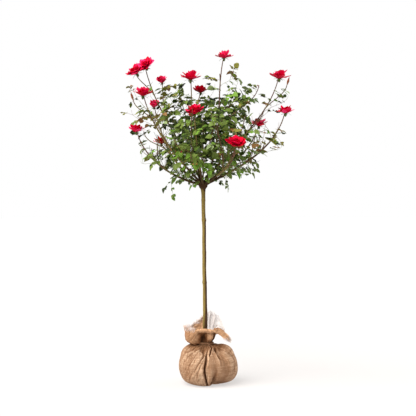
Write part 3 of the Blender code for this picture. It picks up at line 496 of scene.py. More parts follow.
middle = BALL_OFFSET * (1 - smooth_step(SAG_END, 1, rise))
# painted shade: deeper in the folds and in the gathers by the tie
valley = valley_depth(drawn_in, FOLD_REACH, FOLD_DEPTH) + NECK_SHADE * smooth_step(0.91, 0.99, rise)
underside = np.zeros((UNDERSIDE_ROWS, BALL_COLUMNS))
valley = np.vstack([underside, np.clip(valley, -1, 1.4)])
shrink = np.linspace(0, 1, UNDERSIDE_ROWS, endpoint=False)[:, None]
reach = np.vstack([reach[:1] * shrink, reach])
level = np.maximum(np.vstack([underside, level]), 0)
level[UNDERSIDE_ROWS] = 0
middle = np.vstack([np.full((UNDERSIDE_ROWS, 1), middle[0, 0]), middle])
lifted = 0
for turn, spread, height in FOOT_LIFTS:
    lifted = lifted + height * bell(turn_from(turn, azimuths), spread)
lifted = lifted * np.exp(-level / FOOT_LIFT_REACH)
level += lifted * np.concatenate([shrink[:, 0] ** 3, np.ones(BALL_ROWS)])[:, None]
ball_points = np.stack([middle + reach * np.cos(turns), reach * np.sin(turns), level], axis=-1)
run = np.concatenate([-profile[0, 0] * (1 - shrink[:, 0]), cloth_run])[:, None]
threads = np.stack(
    np.broadcast_arrays(turns * BALL_RADIUS / THREAD_PITCH, run / THREAD_PITCH, valley), axis=-1
)
wrap_faces = sheet_faces(BALL_ROWS + UNDERSIDE_ROWS, BALL_COLUMNS)
wrap = cloth_piece("burlap_wrap", ball_points.reshape(-1, 3), wrap_faces, threads)
wrap.data.materials.append(
    burlap_finish("burlap", BURLAP_LIGHT, BURLAP_DARK, BURLAP_SOIL_AND_SHADE, BURLAP_RELIEF)
)
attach(wrap, "root")
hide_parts("root_ball")


# Collar
# The corners and edges of the same burlap above the tie, left loose. The front edge rolls over in
# a lip, one corner sticks out to the right as a folded flap and the left one hangs like a bag.

COLLAR_FOLDS = (
    # azimuth, then radius and height in millimetres at seven places from the neck to the cut edge
    (3, 40, 210, 48, 226, 54, 240, 64, 243, 80, 236, 94, 226, 104, 219),
    (12, 40, 212, 47, 227, 54, 240, 62, 245, 72, 243, 81, 238, 87, 231),
    (30, 40, 212, 46, 228, 54, 240, 62, 246, 70, 248, 76, 249, 81, 248),
    (55, 40, 212, 44, 228, 50, 242, 56, 250, 62, 254, 67, 257, 71, 258),
    (80, 40, 212, 43, 228, 47, 243, 50, 252, 53, 258, 55, 262, 56, 265),
    (97, 40, 212, 42, 228, 45, 243, 47, 251, 49, 257, 50, 262, 51, 266),
    (106, 40, 212, 43, 228, 45, 245, 47, 256, 48, 267, 48, 277, 48, 286),
    (114, 40, 212, 44, 228, 46, 244, 48, 256, 49, 267, 49, 277, 49, 286),
    (124, 41, 212, 45, 228, 48, 243, 50, 253, 51, 260, 52, 265, 53, 269),
    (136, 43, 210, 50, 224, 54, 238, 57, 247, 58, 254, 60, 259, 61, 263),
    (147, 45, 205, 55, 215, 61, 228, 65, 238, 67, 245, 68, 250, 69, 253),
    (158, 48, 198, 63, 206, 71, 219, 75, 230, 77, 238, 78, 243, 78, 247),
    (172, 50, 190, 70, 196, 81, 208, 86, 221, 87, 232, 88, 240, 89, 246),
    (190, 52, 182, 74, 186, 87, 198, 92, 213, 92, 226, 92, 236, 92, 245),
    (208, 52, 181, 76, 185, 89, 197, 94, 212, 93, 225, 92, 235, 90, 244),
    (220, 49, 182, 69, 187, 81, 199, 86, 213, 86, 226, 85, 236, 82, 244),
    (230, 43, 187, 56, 192, 68, 202, 75, 216, 78, 229, 78, 239, 75, 246),
    (237, 36, 193, 40, 201, 54, 211, 66, 224, 75, 236, 76, 245, 69, 251),
    (244, 32, 196, 32, 207, 40, 219, 56, 233, 71, 240, 74, 248, 65, 255),
    (254, 31, 198, 30, 210, 34, 223, 50, 236, 68, 240, 73, 248, 62, 256),
    (264, 31, 198, 30, 211, 35, 225, 48, 236, 66, 240, 71, 248, 60, 256),
    (274, 32, 198, 32, 210, 40, 224, 46, 235, 64, 239, 70, 247, 59, 255),
    (282, 37, 198, 43, 210, 53, 223, 50, 234, 62, 238, 68, 246, 58, 253),
    (292, 45, 198, 56, 210, 55, 224, 50, 233, 61, 237, 67, 244, 59, 250),
    (301, 45, 199, 57, 211, 57, 223, 53, 232, 61, 236, 67, 242, 62, 248),
    (308, 42, 200, 54, 211, 55, 222, 52, 231, 60, 236, 67, 239, 68, 245),
    (315, 38, 201, 47, 212, 51, 222, 52, 230, 59, 234, 66, 234, 69, 229),
    (324, 36, 202, 42, 213, 45, 230, 46, 246, 52, 251, 60, 243, 65, 231),
    (338, 38, 204, 44, 220, 47, 238, 52, 249, 66, 243, 78, 229, 88, 212),
    (349, 40, 206, 47, 224, 50, 241, 58, 247, 77, 235, 93, 217, 106, 198),
    (356, 40, 208, 48, 226, 52, 240, 62, 244, 80, 233, 97, 216, 111, 201),
)
COLLAR_FOOT = (0.0315, 0.1900)
COLLAR_COLUMNS = 540
COLLAR_ROWS = 60
COLLAR_EASE = 1.8  # degrees over which one fold turns into the next
COLLAR_CLOTH = 0.0014
COLLAR_RADIUS = 0.075  # at which the threads are counted
PLEATS = 54
PLEAT_DEPTHS = (0.0010, 0.0042)
RUFFLES = 14  # they deepen towards the edge
RUFFLE_DEPTH = 0.0045
CALM_LIP = (280, 34)  # azimuth and spread of the rolled lip, which the ruffles leave smooth
CRUMPLE = (55, 0.0028)  # lumps to the metre, and depth at the cut edge
RUMPLE = (150, 0.0011)
LIP_REACH = 20
LIP_DEPTH = 0.007
LIT_FOLDS = (
    # azimuth and spread, and how much painted light (under 0, painted shade) the cloth gets there
    (114, 26, 1.1), (346, 20, 0.7), (285, 32, 0.7), (206, 26, -0.5),
)
RAGGED = 0.030  # unevenness of the cut edge, as a share of the cloth's length
CRUMPLE_SEED = 5  # fixes where the small crumples fall
LOOSE_LIGHT = (0.79, 0.475, 0.275)
LOOSE_DARK = (0.30, 0.150, 0.070)
LOOSE_SOIL = (0.36, 0.180, 0.088)
LOOSE_RELIEF = 0.0011


def eased_round(values, degrees):
    """Values given round a circle, each spread over its neighbours."""
    away = np.arange(len(values)) * 360 / len(values)
    away = np.minimum(away, 360 - away)
    weight = np.exp(-((away / degrees) ** 2))
    weight /= weight.sum()
    return np.real(np.fft.ifft(np.fft.fft(values) * np.fft.fft(weight)))


def collar_sections(azimuths):
    """Radius and height of the cloth in rows from the neck to its edge, and the cloth's run."""
    folds = np.array(sorted(COLLAR_FOLDS)) / (1, *[1000] * 14)
    knots = np.stack([
        eased_round(np.interp(azimuths, folds[:, 0], folds[:, place], period=360), COLLAR_EASE)
        for place in range(1, 15)
    ])
    rows = np.empty((COLLAR_ROWS, COLLAR_COLUMNS, 2))
    lengths = np.empty((COLLAR_ROWS, COLLAR_COLUMNS))
    for column, azimuth in enumerate(azimuths):
        ragged = noise.noise(Vector(on_circle(3, math.radians(azimuth), 5)))
        ragged += 0.7 * noise.noise(Vector((azimuth * 0.6, 0, 9)))
        line = [COLLAR_FOOT, *knots[:, column].reshape(7, 2)]
        fine, run = resample(smooth_line(line), 80)
        wanted = np.linspace(0, run[-1] * (1 + RAGGED * ragged), COLLAR_ROWS)
        rows[:, column, 0] = np.interp(wanted, run, fine[:, 0])
        rows[:, column, 1] = np.interp(wanted, run, fine[:, 1])
        lengths[:, column] = wanted
    return rows, lengths


def collar_pleats(azimuths, share, dice):
    """How far the pleats and ruffles push the cloth out of its plain sections."""
    pleats = np.zeros((COLLAR_ROWS, COLLAR_COLUMNS))
    for number in range(PLEATS):
        turn = number * 360 / PLEATS + dice.uniform(-4, 4)
        drift = dice.uniform(-16, 16)
        depth = dice.uniform(*PLEAT_DEPTHS) * (1 if number % 2 else -1)
        width = math.radians(dice.uniform(1.8, 4.2))
        end = dice.uniform(0.35, 1.2)
        away = np.radians(turn_from(drift * share, azimuths - turn))
        dying = smooth_step(0, 0.12, share) * (1 - smooth_step(end * 0.5, end, share))
        pleats += depth * np.exp(-np.abs(away) / width) * dying
    lip, lip_spread = CALM_LIP
    calm = 1 - 0.7 * bell(turn_from(lip, azimuths), lip_spread)
    for number in range(RUFFLES):
        turn = number * 360 / RUFFLES + dice.uniform(-10, 10)
        away = np.radians(turn_from(-25 * share, azimuths - turn))
        depth = dice.uniform(-RUFFLE_DEPTH, RUFFLE_DEPTH)
        pleats += depth * bell(away, 0.09) * share**1.5 * calm
    return pleats


def collar_shading(azimuths, radial, height, drawn_in, share):
    """How deep in a fold, or under the cloth that hangs over it, each point lies, painted as shade.
    """
    valley = valley_depth(drawn_in, LIP_REACH, LIP_DEPTH) * 0.8
    # painted shadow where the cloth above hangs out over a point
    for row in range(COLLAR_ROWS - 1):
        above = height[row + 1:] > height[row] + 0.002
        over = np.where(above, radial[row + 1:] - radial[row], 0).max(axis=0)
        valley[row] += np.clip((over - 0.014) / 0.017, -0.3, 1.7)
    for turn, spread, paler in LIT_FOLDS:
        valley -= paler * bell(turn_from(turn, azimuths), spread) * share
    # less painted shade along the cut edge
    valley[-6:] -= 0.4
    return np.clip(valley, -1, 1.75)


def collar_points(dice):
    azimuths = np.arange(COLLAR_COLUMNS) * 360 / COLLAR_COLUMNS
    turns = np.radians(azimuths)
    rows, lengths = collar_sections(azimuths)
    share = np.linspace(0, 1, COLLAR_ROWS)[:, None]
    along = np.gradient(rows, axis=0)
    along /= np.linalg.norm(along, axis=2)[:, :, None] + 1e-9
    pleats = collar_pleats(azimuths, share, dice)
    radial = rows[:, :, 0] + pleats * along[:, :, 1]
    height = rows[:, :, 1] - pleats * along[:, :, 0]
    points = np.stack([radial * np.cos(turns), radial * np.sin(turns), height], axis=-1)
    for row in range(COLLAR_ROWS):
        for column in range(COLLAR_COLUMNS):
            spot = Vector(points[row, column])
            crumple = np.array(noise.noise_vector(spot * CRUMPLE[0])) * CRUMPLE[1] * share[row, 0]
            points[row, column] += crumple
            points[row, column] += np.array(noise.noise_vector(spot * RUMPLE[0])) * RUMPLE[1]
    valley = collar_shading(azimuths, radial, height, -pleats - rows[:, :, 0], share)
    threads = turns * COLLAR_RADIUS / THREAD_PITCH, lengths / THREAD_PITCH, valley
    return points, np.stack(np.broadcast_arrays(*threads), axis=-1)


def smooth_line(knots, steps=12):
    """A curve through the knots."""
    knots = np.asarray(knots, float)
    ends = np.vstack([2 * knots[0] - knots[1], knots, 2 * knots[-1] - knots[-2]])
    made = []
    t = np.arange(steps)[:, None] / steps
    for a, b, c, d in zip(ends, ends[1:], ends[2:], ends[3:]):
        square = (2 * a - 5 * b + 4 * c - d) * t**2
        made.append(0.5 * (2 * b + (c - a) * t + square + (3 * b - a - 3 * c + d) * t**3))
    return np.vstack([*made, knots[-1:]])


noise.seed_set(CRUMPLE_SEED)
collar_grid, collar_threads = collar_points(random.Random("collar"))
collar_faces = sheet_faces(COLLAR_ROWS, COLLAR_COLUMNS)
collar = cloth_piece("burlap_ruffle", collar_grid.reshape(-1, 3), collar_faces, collar_threads)
collar.data.materials.append(
    burlap_finish("loose_burlap", LOOSE_LIGHT, LOOSE_DARK, LOOSE_SOIL, LOOSE_RELIEF)
)
cloth = collar.modifiers.new("cloth", "SOLIDIFY")
cloth.thickness = COLLAR_CLOTH
cloth.offset = 0
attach(collar, "root")
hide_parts("burlap_collar")


# Frayed edge
# Where the burlap was cut its cross threads have dropped out, which leaves the long ones as a
# pale fringe round the collar's rim, except at the front.

FRAY_RADIUS = 0.00036
FRAY_STRETCHES = (
    # azimuths from and to, threads for each place along the edge, shortest and longest
    (98, 132, 8, 0.007, 0.018), (132, 160, 6, 0.007, 0.015), (160, 232, 8, 0.008, 0.017),
    (232, 338, 0, 0.001, 0.003), (338, 361, 6, 0.006, 0.013), (0, 98, 1, 0.003, 0.009),
)
FRAY_STARTS = (1, 1, 2, 4, 7)  # rows in from the cut edge where a thread works loose
FRAY_SPLAY = 0.34
FRAY_BEND = 0.4
FRAY_TONES = ((0.44, 0.27, 0.17), (0.78, 0.68, 0.64))


class Heap:
    """Faces gathered from many small pieces of one kind, made into one mesh."""

    def __init__(self):
        self.points = []
        self.faces = []
        self.count = 0

    def add(self, points, faces):
        self.points.append(np.asarray(points, float))
        self.faces.append((self.count, faces))
        self.count += len(points)

    def piece(self, name, material, slot, nodes, smooth=True):
        faces = [[first + corner for corner in face] for first, part in self.faces for face in part]
        mesh = bpy.data.meshes.new(name)
        mesh.from_pydata(np.concatenate(self.points).tolist(), [], faces)
        if smooth:
            mesh.shade_smooth()
        mesh.materials.append(material)
        made = put_in_scene(name, mesh)
        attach(made, "root")
        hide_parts(*nodes)


TUBE_FACES = {}


def tube_faces(rings, sides):
    """Quads between the rings of a tube, and a flat end on each side."""
    if (rings, sides) not in TUBE_FACES:
        faces = sheet_faces(rings, sides)
        faces.append(list(range(sides))[::-1])
        faces.append(list(range((rings - 1) * sides, rings * sides)))
        TUBE_FACES[rings, sides] = faces
    return TUBE_FACES[rings, sides]


def tube_points(line, radii, sides):
    """Rings round a line. Radii are one to a ring, or a table with one to a point."""
    line = np.asarray(line, float)
    ways = unit_rows(np.gradient(line, axis=0))
    side = np.cross(ways[0], (0.0, 0.0, 1.0) if abs(ways[0][2]) < 0.9 else (1.0, 0.0, 0.0))
    sides_at = []
    for way in ways:
        side = side - way * (side @ way)
        side /= np.linalg.norm(side)
        sides_at.append(side)
    first = np.array(sides_at)
    second = np.cross(ways, first)
    turns = np.arange(sides) * math.tau / sides
    radii = np.asarray(radii, float)
    if radii.ndim == 1:
        radii = radii[:, None]
    ring = first[:, None] * np.cos(turns)[:, None] + second[:, None] * np.sin(turns)[:, None]
    return (line[:, None] + ring * radii[:, :, None]).reshape(-1, 3)


def add_tube(heap, line, radii, sides):
    heap.add(tube_points(line, radii, sides), tube_faces(len(line), sides))


def jitter(dice, reach):
    return Vector([dice.uniform(-reach, reach) for _ in range(3)])


def mottled_finish(name, colours, positions, scale, detail, roughness, distortion=0.0):
    """A material clouded from its first colour to its second, and the clouds' tone."""
    made, shader = plain_finish(name, colours[1], roughness)
    tree = made.node_tree
    tone = grain(tree, own_place(tree), scale, detail, distortion=distortion)
    tree.links.new(two_tones(tree, tone, positions, colours), shader.inputs["Base Color"])
    return made, tone


frays = Heap()
dice = random.Random("frays")
for column in range(COLLAR_COLUMNS):
    azimuth = column * 360 / COLLAR_COLUMNS
    count, shortest, longest = next(
        stretch[2:] for stretch in FRAY_STRETCHES if stretch[0] <= azimuth < stretch[1]
    )
    for _ in range(count):
        inner = dice.choice(FRAY_STARTS)
        start = Vector(collar_grid[-inner, column])
        way = (start - Vector(collar_grid[-inner - 4, column])).normalized()
        aside = jitter(dice, 1) * FRAY_SPLAY
        length = dice.uniform(shortest, longest)
        bend = jitter(dice, 1) * FRAY_BEND
        line = [start + (way + aside + bend * t) * length * t for t in (0, 0.35, 0.7, 1.0)]
        add_tube(frays, line, [FRAY_RADIUS * share for share in (1.0, 1.0, 0.8, 0.4)], 3)
fray_finish, _ = mottled_finish("jute_fray", FRAY_TONES, (0.35, 0.62), 70.0, 2.0, 0.9)
frays.piece("burlap_frays", fray_finish, "burlap", ["burlap_collar"])


# Gauze
# A scrap of open white gauze, caught in the gathers behind the stem. It stands up as a creased
# fan of fine threads, with a few of them browned.

GAUZE_RIM = (
    # azimuth, radius and height along the fan's outer edge
    (10, 0.086, 0.236), (22, 0.090, 0.264), (33, 0.084, 0.288), (45, 0.074, 0.307),
    (54, 0.065, 0.319), (62, 0.060, 0.322), (70, 0.056, 0.329), (78, 0.052, 0.322),
    (84, 0.050, 0.300),
)
GAUZE_FOOT = (0.036, 0.215)
GAUZE_RAYS = 176
GAUZE_ROUNDS = 98
GAUZE_ENDS = (0.80, 1.04)  # how far out a ray ends, of the way to the edge
GAUZE_ROUNDS_FROM = 0.12
GAUZE_ROUNDS_TO = 0.98
GAUZE_THREAD = 0.00030
GAUZE_BROWNED = 0.10  # share of the rays
GAUZE_FOLDS = 7.0
GAUZE_FOLD_DEPTH = 0.009
GAUZE_BELLY = 0.004
GAUZE_CRUMPLE = (60, 0.0025)  # lumps to the metre, and depth at the edge
RAY_STEPS = 16
ROUND_STEPS = 60
GAUZE_COLOURS = {"gauze_white": (0.80, 0.74, 0.71), "gauze_brown": (0.44, 0.33, 0.28)}
GAUZE_TONES = (0.72, 1.12)


def gauze_point(share, out):
    """A place on the fan: share of the way across, and share of the way out to its edge."""
    places = np.linspace(0, 1, len(GAUZE_RIM))
    azimuth, radius, height = [np.interp(share, places, column) for column in np.array(GAUZE_RIM).T]
    radius = GAUZE_FOOT[0] + (radius - GAUZE_FOOT[0]) * out
    radius += math.sin(math.pi * out) * GAUZE_BELLY
    height = GAUZE_FOOT[1] + (height - GAUZE_FOOT[1]) * out
    fold = abs((share * GAUZE_FOLDS) % 2 - 1) - 0.5
    radius += fold * GAUZE_FOLD_DEPTH * out
    azimuth += 2.5 * math.sin(share * 19 + 3 * out) * out
    spot = Vector(on_circle(radius, math.radians(azimuth), height))
    return spot + noise.noise_vector(spot * GAUZE_CRUMPLE[0]) * GAUZE_CRUMPLE[1] * out


gauze = {name: Heap() for name in GAUZE_COLOURS}
dice = random.Random("gauze")
for ray in range(GAUZE_RAYS):
    share = min(1.0, max(0.0, (ray + dice.uniform(-0.3, 0.3)) / (GAUZE_RAYS - 1)))
    end = dice.uniform(*GAUZE_ENDS)
    line = [gauze_point(share, end * i / RAY_STEPS) for i in range(RAY_STEPS + 1)]
    if dice.random() < GAUZE_BROWNED:
        add_tube(gauze["gauze_brown"], line, [GAUZE_THREAD * 1.3] * len(line), 3)
    else:
        add_tube(gauze["gauze_white"], line, [GAUZE_THREAD] * len(line), 3)
for number in range(GAUZE_ROUNDS):
    out = (number + dice.uniform(-0.2, 0.2)) / GAUZE_ROUNDS
    out = GAUZE_ROUNDS_FROM + (GAUZE_ROUNDS_TO - GAUZE_ROUNDS_FROM) * out
    line = [gauze_point(i / ROUND_STEPS, out) for i in range(ROUND_STEPS + 1)]
    add_tube(gauze["gauze_white"], line, [GAUZE_THREAD * 0.9] * len(line), 3)
for name, heap in gauze.items():
    tones = [[share * part for part in GAUZE_COLOURS[name]] for share in GAUZE_TONES]
    gauze_finish, _ = mottled_finish(name, tones, (0, 1), 90.0, 2.0, 0.85)
    gauze_finish.node_tree.nodes["Principled BSDF"].inputs["Sheen Weight"].default_value = 0.3
    heap.piece(name, gauze_finish, "burlap", ["burlap_collar"])


# Twine
# Three turns of two-ply jute round the gathered neck, pulled tight and finished with an overhand
# knot at the front, its ends cut short.

TWINE_RING = 0.0362
TWINE_HEIGHT = 0.184
TWINE_TURNS = 3
TWINE_CLIMB = 0.0024  # from one turn to the next
TWINE_FOOT = 0.0035  # from the first turn up to the knot
TWINE_PLY = 0.00095
TWINE_LAY = 0.0075  # length of one twist
TWINE_STEP = 0.0011
TWINE_TONES = ((0.085, 0.038, 0.016), (0.36, 0.175, 0.080))
KNOT_AZIMUTH = 291
KNOT_SIZE = (0.0017, 0.0015, 0.0018)  # across, up and outward
KNOT_ENDS = (
    # how far each end leans aside, and how far it drops
    (-0.35, 0.014), (0.75, 0.018),
)
KNOT_END_REACH = ((0.004, 0.006), (0.013, 0.014), (0.024, 0.020))  # outward, and aside at full lean


def add_twine(heap, line):
    """Two plies twisted round a line."""
    length = np.linalg.norm(np.diff(line, axis=0), axis=1).sum()
    line, run = resample(smooth_line(line, 8), max(8, int(length / TWINE_STEP)))
    ways = unit_rows(np.gradient(line, axis=0))
    side = unit_rows(np.cross(ways, (0.13, 0.21, 0.97)))
    other = np.cross(ways, side)
    for ply in (0, math.pi):
        twist = (math.tau * run / TWINE_LAY + ply)[:, None]
        around = (side * np.cos(twist) + other * np.sin(twist)) * TWINE_PLY * 0.85
        add_tube(heap, line + around, [TWINE_PLY] * len(line), 6)


twine = Heap()
rounds = []
for step in range(36 * TWINE_TURNS + 1):
    sway = 0.0007 * math.sin(step * 0.9)
    level = TWINE_HEIGHT - TWINE_FOOT + TWINE_CLIMB * step / 36
    rounds.append(on_circle(TWINE_RING + sway, math.radians(KNOT_AZIMUTH + step * 10), level))
add_twine(twine, rounds)
knot_turn = math.radians(KNOT_AZIMUTH)
knot_middle = Vector(on_circle(TWINE_RING + 0.0035, knot_turn, TWINE_HEIGHT))
outward = Vector(on_circle(1, knot_turn, 0))
across = Vector(on_circle(1, math.radians(KNOT_AZIMUTH + 90), 0))
knot = []
for step in range(31):
    turn = math.tau * step / 30
    wide = (math.sin(turn) + 2 * math.sin(2 * turn)) * KNOT_SIZE[0]
    tall = (math.cos(turn) - 2 * math.cos(2 * turn)) * KNOT_SIZE[1]
    deep = math.sin(3 * turn) * KNOT_SIZE[2]
    knot.append(knot_middle + across * wide + Vector((0, 0, tall)) - outward * deep)
add_twine(twine, knot)
for lean, drop in KNOT_ENDS:
    end = [knot_middle]
    for (out, aside), fall in zip(KNOT_END_REACH, (0.004, drop * 0.45, drop * 0.72)):
        end.append(knot_middle + outward * out + across * lean * aside - Vector((0, 0, fall)))
    add_twine(twine, end)
twine_finish, twine_fibre = mottled_finish("twine", TWINE_TONES, (0.3, 0.7), 900.0, 3.0, 0.9, 0.6)
emboss(twine_finish.node_tree, twine_fibre, 0.0004)
twine.piece("neck_twine_tied", twine_finish, "twine", ["neck_twine"])


# Stem and bud union
# One straight rose cane grown as a clear stem, thicker at the foot. The head was budded on at its
# top, where the join healed into a rough brown knob. The bark is fine, ridged and olive.

STEM_FOOT = 0.146
STEM_RADIUS = 0.0086
STEM_FLARE = 0.0024
STEM_FLARE_LENGTH = 0.20
STEM_LEAN = -0.0095
STEM_BOW = 1.3
UNION_HEIGHT = 0.893
UNION_RADIUS = 0.0195
UNION_TOP = UNION_HEIGHT + UNION_RADIUS * math.sin(math.radians(70))
STEM_KNUCKLES = (
    # height, how far it stands out, and the side that it swells to
    (0.455, 0.0015, 205), (0.735, 0.0018, 330), (0.825, 0.0010, 120), (0.330, 0.0007, 60),
    (0.590, 0.0008, 250),
)
KNUCKLE_HEIGHT = 0.007
SCAR_DROP = 0.006  # the ring scar lies this far under its knuckle
SCAR_HEIGHT = 0.0016
STEM_SIDES = 48
STEM_STEP = 0.0019
STEM_TOP = UNION_HEIGHT - UNION_RADIUS * 0.72  # where the union starts
STEM_TOP_RADIUS = UNION_RADIUS * 0.69
STEM_TOP_SWELL = 0.011  # length over which the stem swells into it
RIDGE_HEIGHT = 0.00042
LUMP_HEIGHT = 0.0022
BARK_LIGHT = (0.215, 0.153, 0.040)
BARK_BROWN = (0.052, 0.025, 0.010)
BARK_SCAR = (0.030, 0.015, 0.008)
KNOB_LEVELS = (0.862, 0.886)  # the bark turns brown between them


def stem_axis(height):
    rise = max(0.0, (height - STEM_FOOT) / (UNION_HEIGHT - STEM_FOOT))
    return Vector((STEM_LEAN * rise**STEM_BOW, 0, height))


def stem_ring(height, radius, roughness):
    """One ring of the stem, with its ridges, scars and swellings."""
    middle = stem_axis(min(height, UNION_HEIGHT))
    middle.x += 0.0007 * math.sin(height * 21) + 0.0004 * math.sin(height * 47)
    middle.y += 0.0008 * math.sin(height * 17 + 1)
    ring = []
    for side in range(STEM_SIDES):
        turn = math.tau * side / STEM_SIDES
        reach = radius
        for level, extra, azimuth in STEM_KNUCKLES:
            facing = 0.6 + 0.8 * max(0.0, math.cos(turn - math.radians(azimuth)))
            reach += extra * facing * bell(height - level, KNUCKLE_HEIGHT)
            reach -= extra * 0.25 * bell(height - level + SCAR_DROP, SCAR_HEIGHT)
        x, y, _ = on_circle(reach, turn, height)
        ridge = noise.noise(Vector((x * 330, y * 330, height * 24)))
        flake = noise.noise(Vector((x * 800, y * 800, height * 110)))
        lump = noise.noise(Vector((x * 90, y * 90, height * 90 + 4)))
        reach += (ridge + flake * 0.45) * RIDGE_HEIGHT * (1 + roughness * 1.6)
        reach += lump * LUMP_HEIGHT * roughness
        x, y, _ = on_circle(reach, turn, height)
        ring.append((middle.x + x, middle.y + y, height))
    return ring


stem_rings = []
height = STEM_FOOT
while height < STEM_TOP:
    radius = STEM_RADIUS + STEM_FLARE * math.exp(-(height - STEM_FOOT) / STEM_FLARE_LENGTH)
    swell = math.exp(-(STEM_TOP - height) / STEM_TOP_SWELL)
    stem_rings.append(stem_ring(height, radius + (STEM_TOP_RADIUS - radius) * swell, swell))
    height += STEM_STEP
for degrees in range(-44, 90, 5):
    turn = math.radians(degrees)
    level = UNION_HEIGHT + UNION_RADIUS * math.sin(turn)
    stem_rings.append(stem_ring(level, UNION_RADIUS * math.cos(turn), 1.0))
stem = Heap()
stem.add(np.array(stem_rings).reshape(-1, 3), tube_faces(len(stem_rings), STEM_SIDES))


def bark_finish(name, young, old, scar, brown_and_shaded_side, roughness, knob=None):
    """Smooth young bark, streaked lengthwise, browner at a knob and on its +X side, partly
    weathering and partly painted shade.
    """
    made, shader = plain_finish(name, young, roughness, 0.14)
    tree = made.node_tree
    place = own_place(tree)
    stretched = {"Vector": place, "Scale": (1.0, 1.0, 0.10)}
    stretched = shader_node(tree, "ShaderNodeMapping", stretched).outputs["Vector"]
    streak = grain(tree, stretched, 420.0, 4.0, 0.65)
    age = grain(tree, stretched, 80.0, 3.0)
    where = shader_node(tree, "ShaderNodeSeparateXYZ", {"Vector": place})
    level = where.outputs["Z"]
    # greener on the lit -X side and browner on the +X side: partly weathering, partly painted light
    # and shade
    side = remap(tree, where.outputs["X"], -0.009, 0.006, -0.30 * brown_and_shaded_side, 0.34 * brown_and_shaded_side)
    older = [side, remap(tree, level, 0.20, 0.42, 0.20, 0.0)]
    if knob:
        older.append(remap(tree, level, *knob, 0.0, 0.6))
    for extra in older:
        age = shader_node(tree, "ShaderNodeMath", {0: age, 1: extra}, operation="ADD").outputs[0]
    bark = two_tones(tree, age, (0.38, 0.64), (young, old))
    streaked = colour_mix(tree, remap(tree, streak, 0.52, 0.70, 0.0, 0.75), bark, scar)
    tree.links.new(streaked, shader.inputs["Base Color"])
    emboss(tree, streak, 0.0005, 0.7)
    return made


stem_bark = bark_finish("stem_bark", BARK_LIGHT, BARK_BROWN, BARK_SCAR, 1.0, 0.85, KNOB_LEVELS)
stem.piece("stem_with_union", stem_bark, "stem_bark", ["stem"])


# Boughs
# The budded head starts as eleven short boughs that leave the union all round. Each is one
# tapering limb of older wood, with a collar where it joins the knob.


class Shoot(NamedTuple):
    tip: tuple
    bloom: float = 0  # diameter; 0 is a leafy tip, and under 0 is a bud or a bare stub
    branches_at: float = 0  # share of the main cane where this one branches off
    nod: tuple = (0, 0, 1)  # the way the bloom faces


class Mass(NamedTuple):
    name: str
    bough: str  # or "stem", for the mass that stands on the union
    fork: float  # share of the bough where the mass starts; 1 is its end
    shoots: tuple  # the first is the main cane, the others branch from it


class Bough(NamedTuple):
    azimuth: float
    climb: float  # degrees above level where it leaves the union
    radius: float


BUD = -0.008
STUB = -0.002

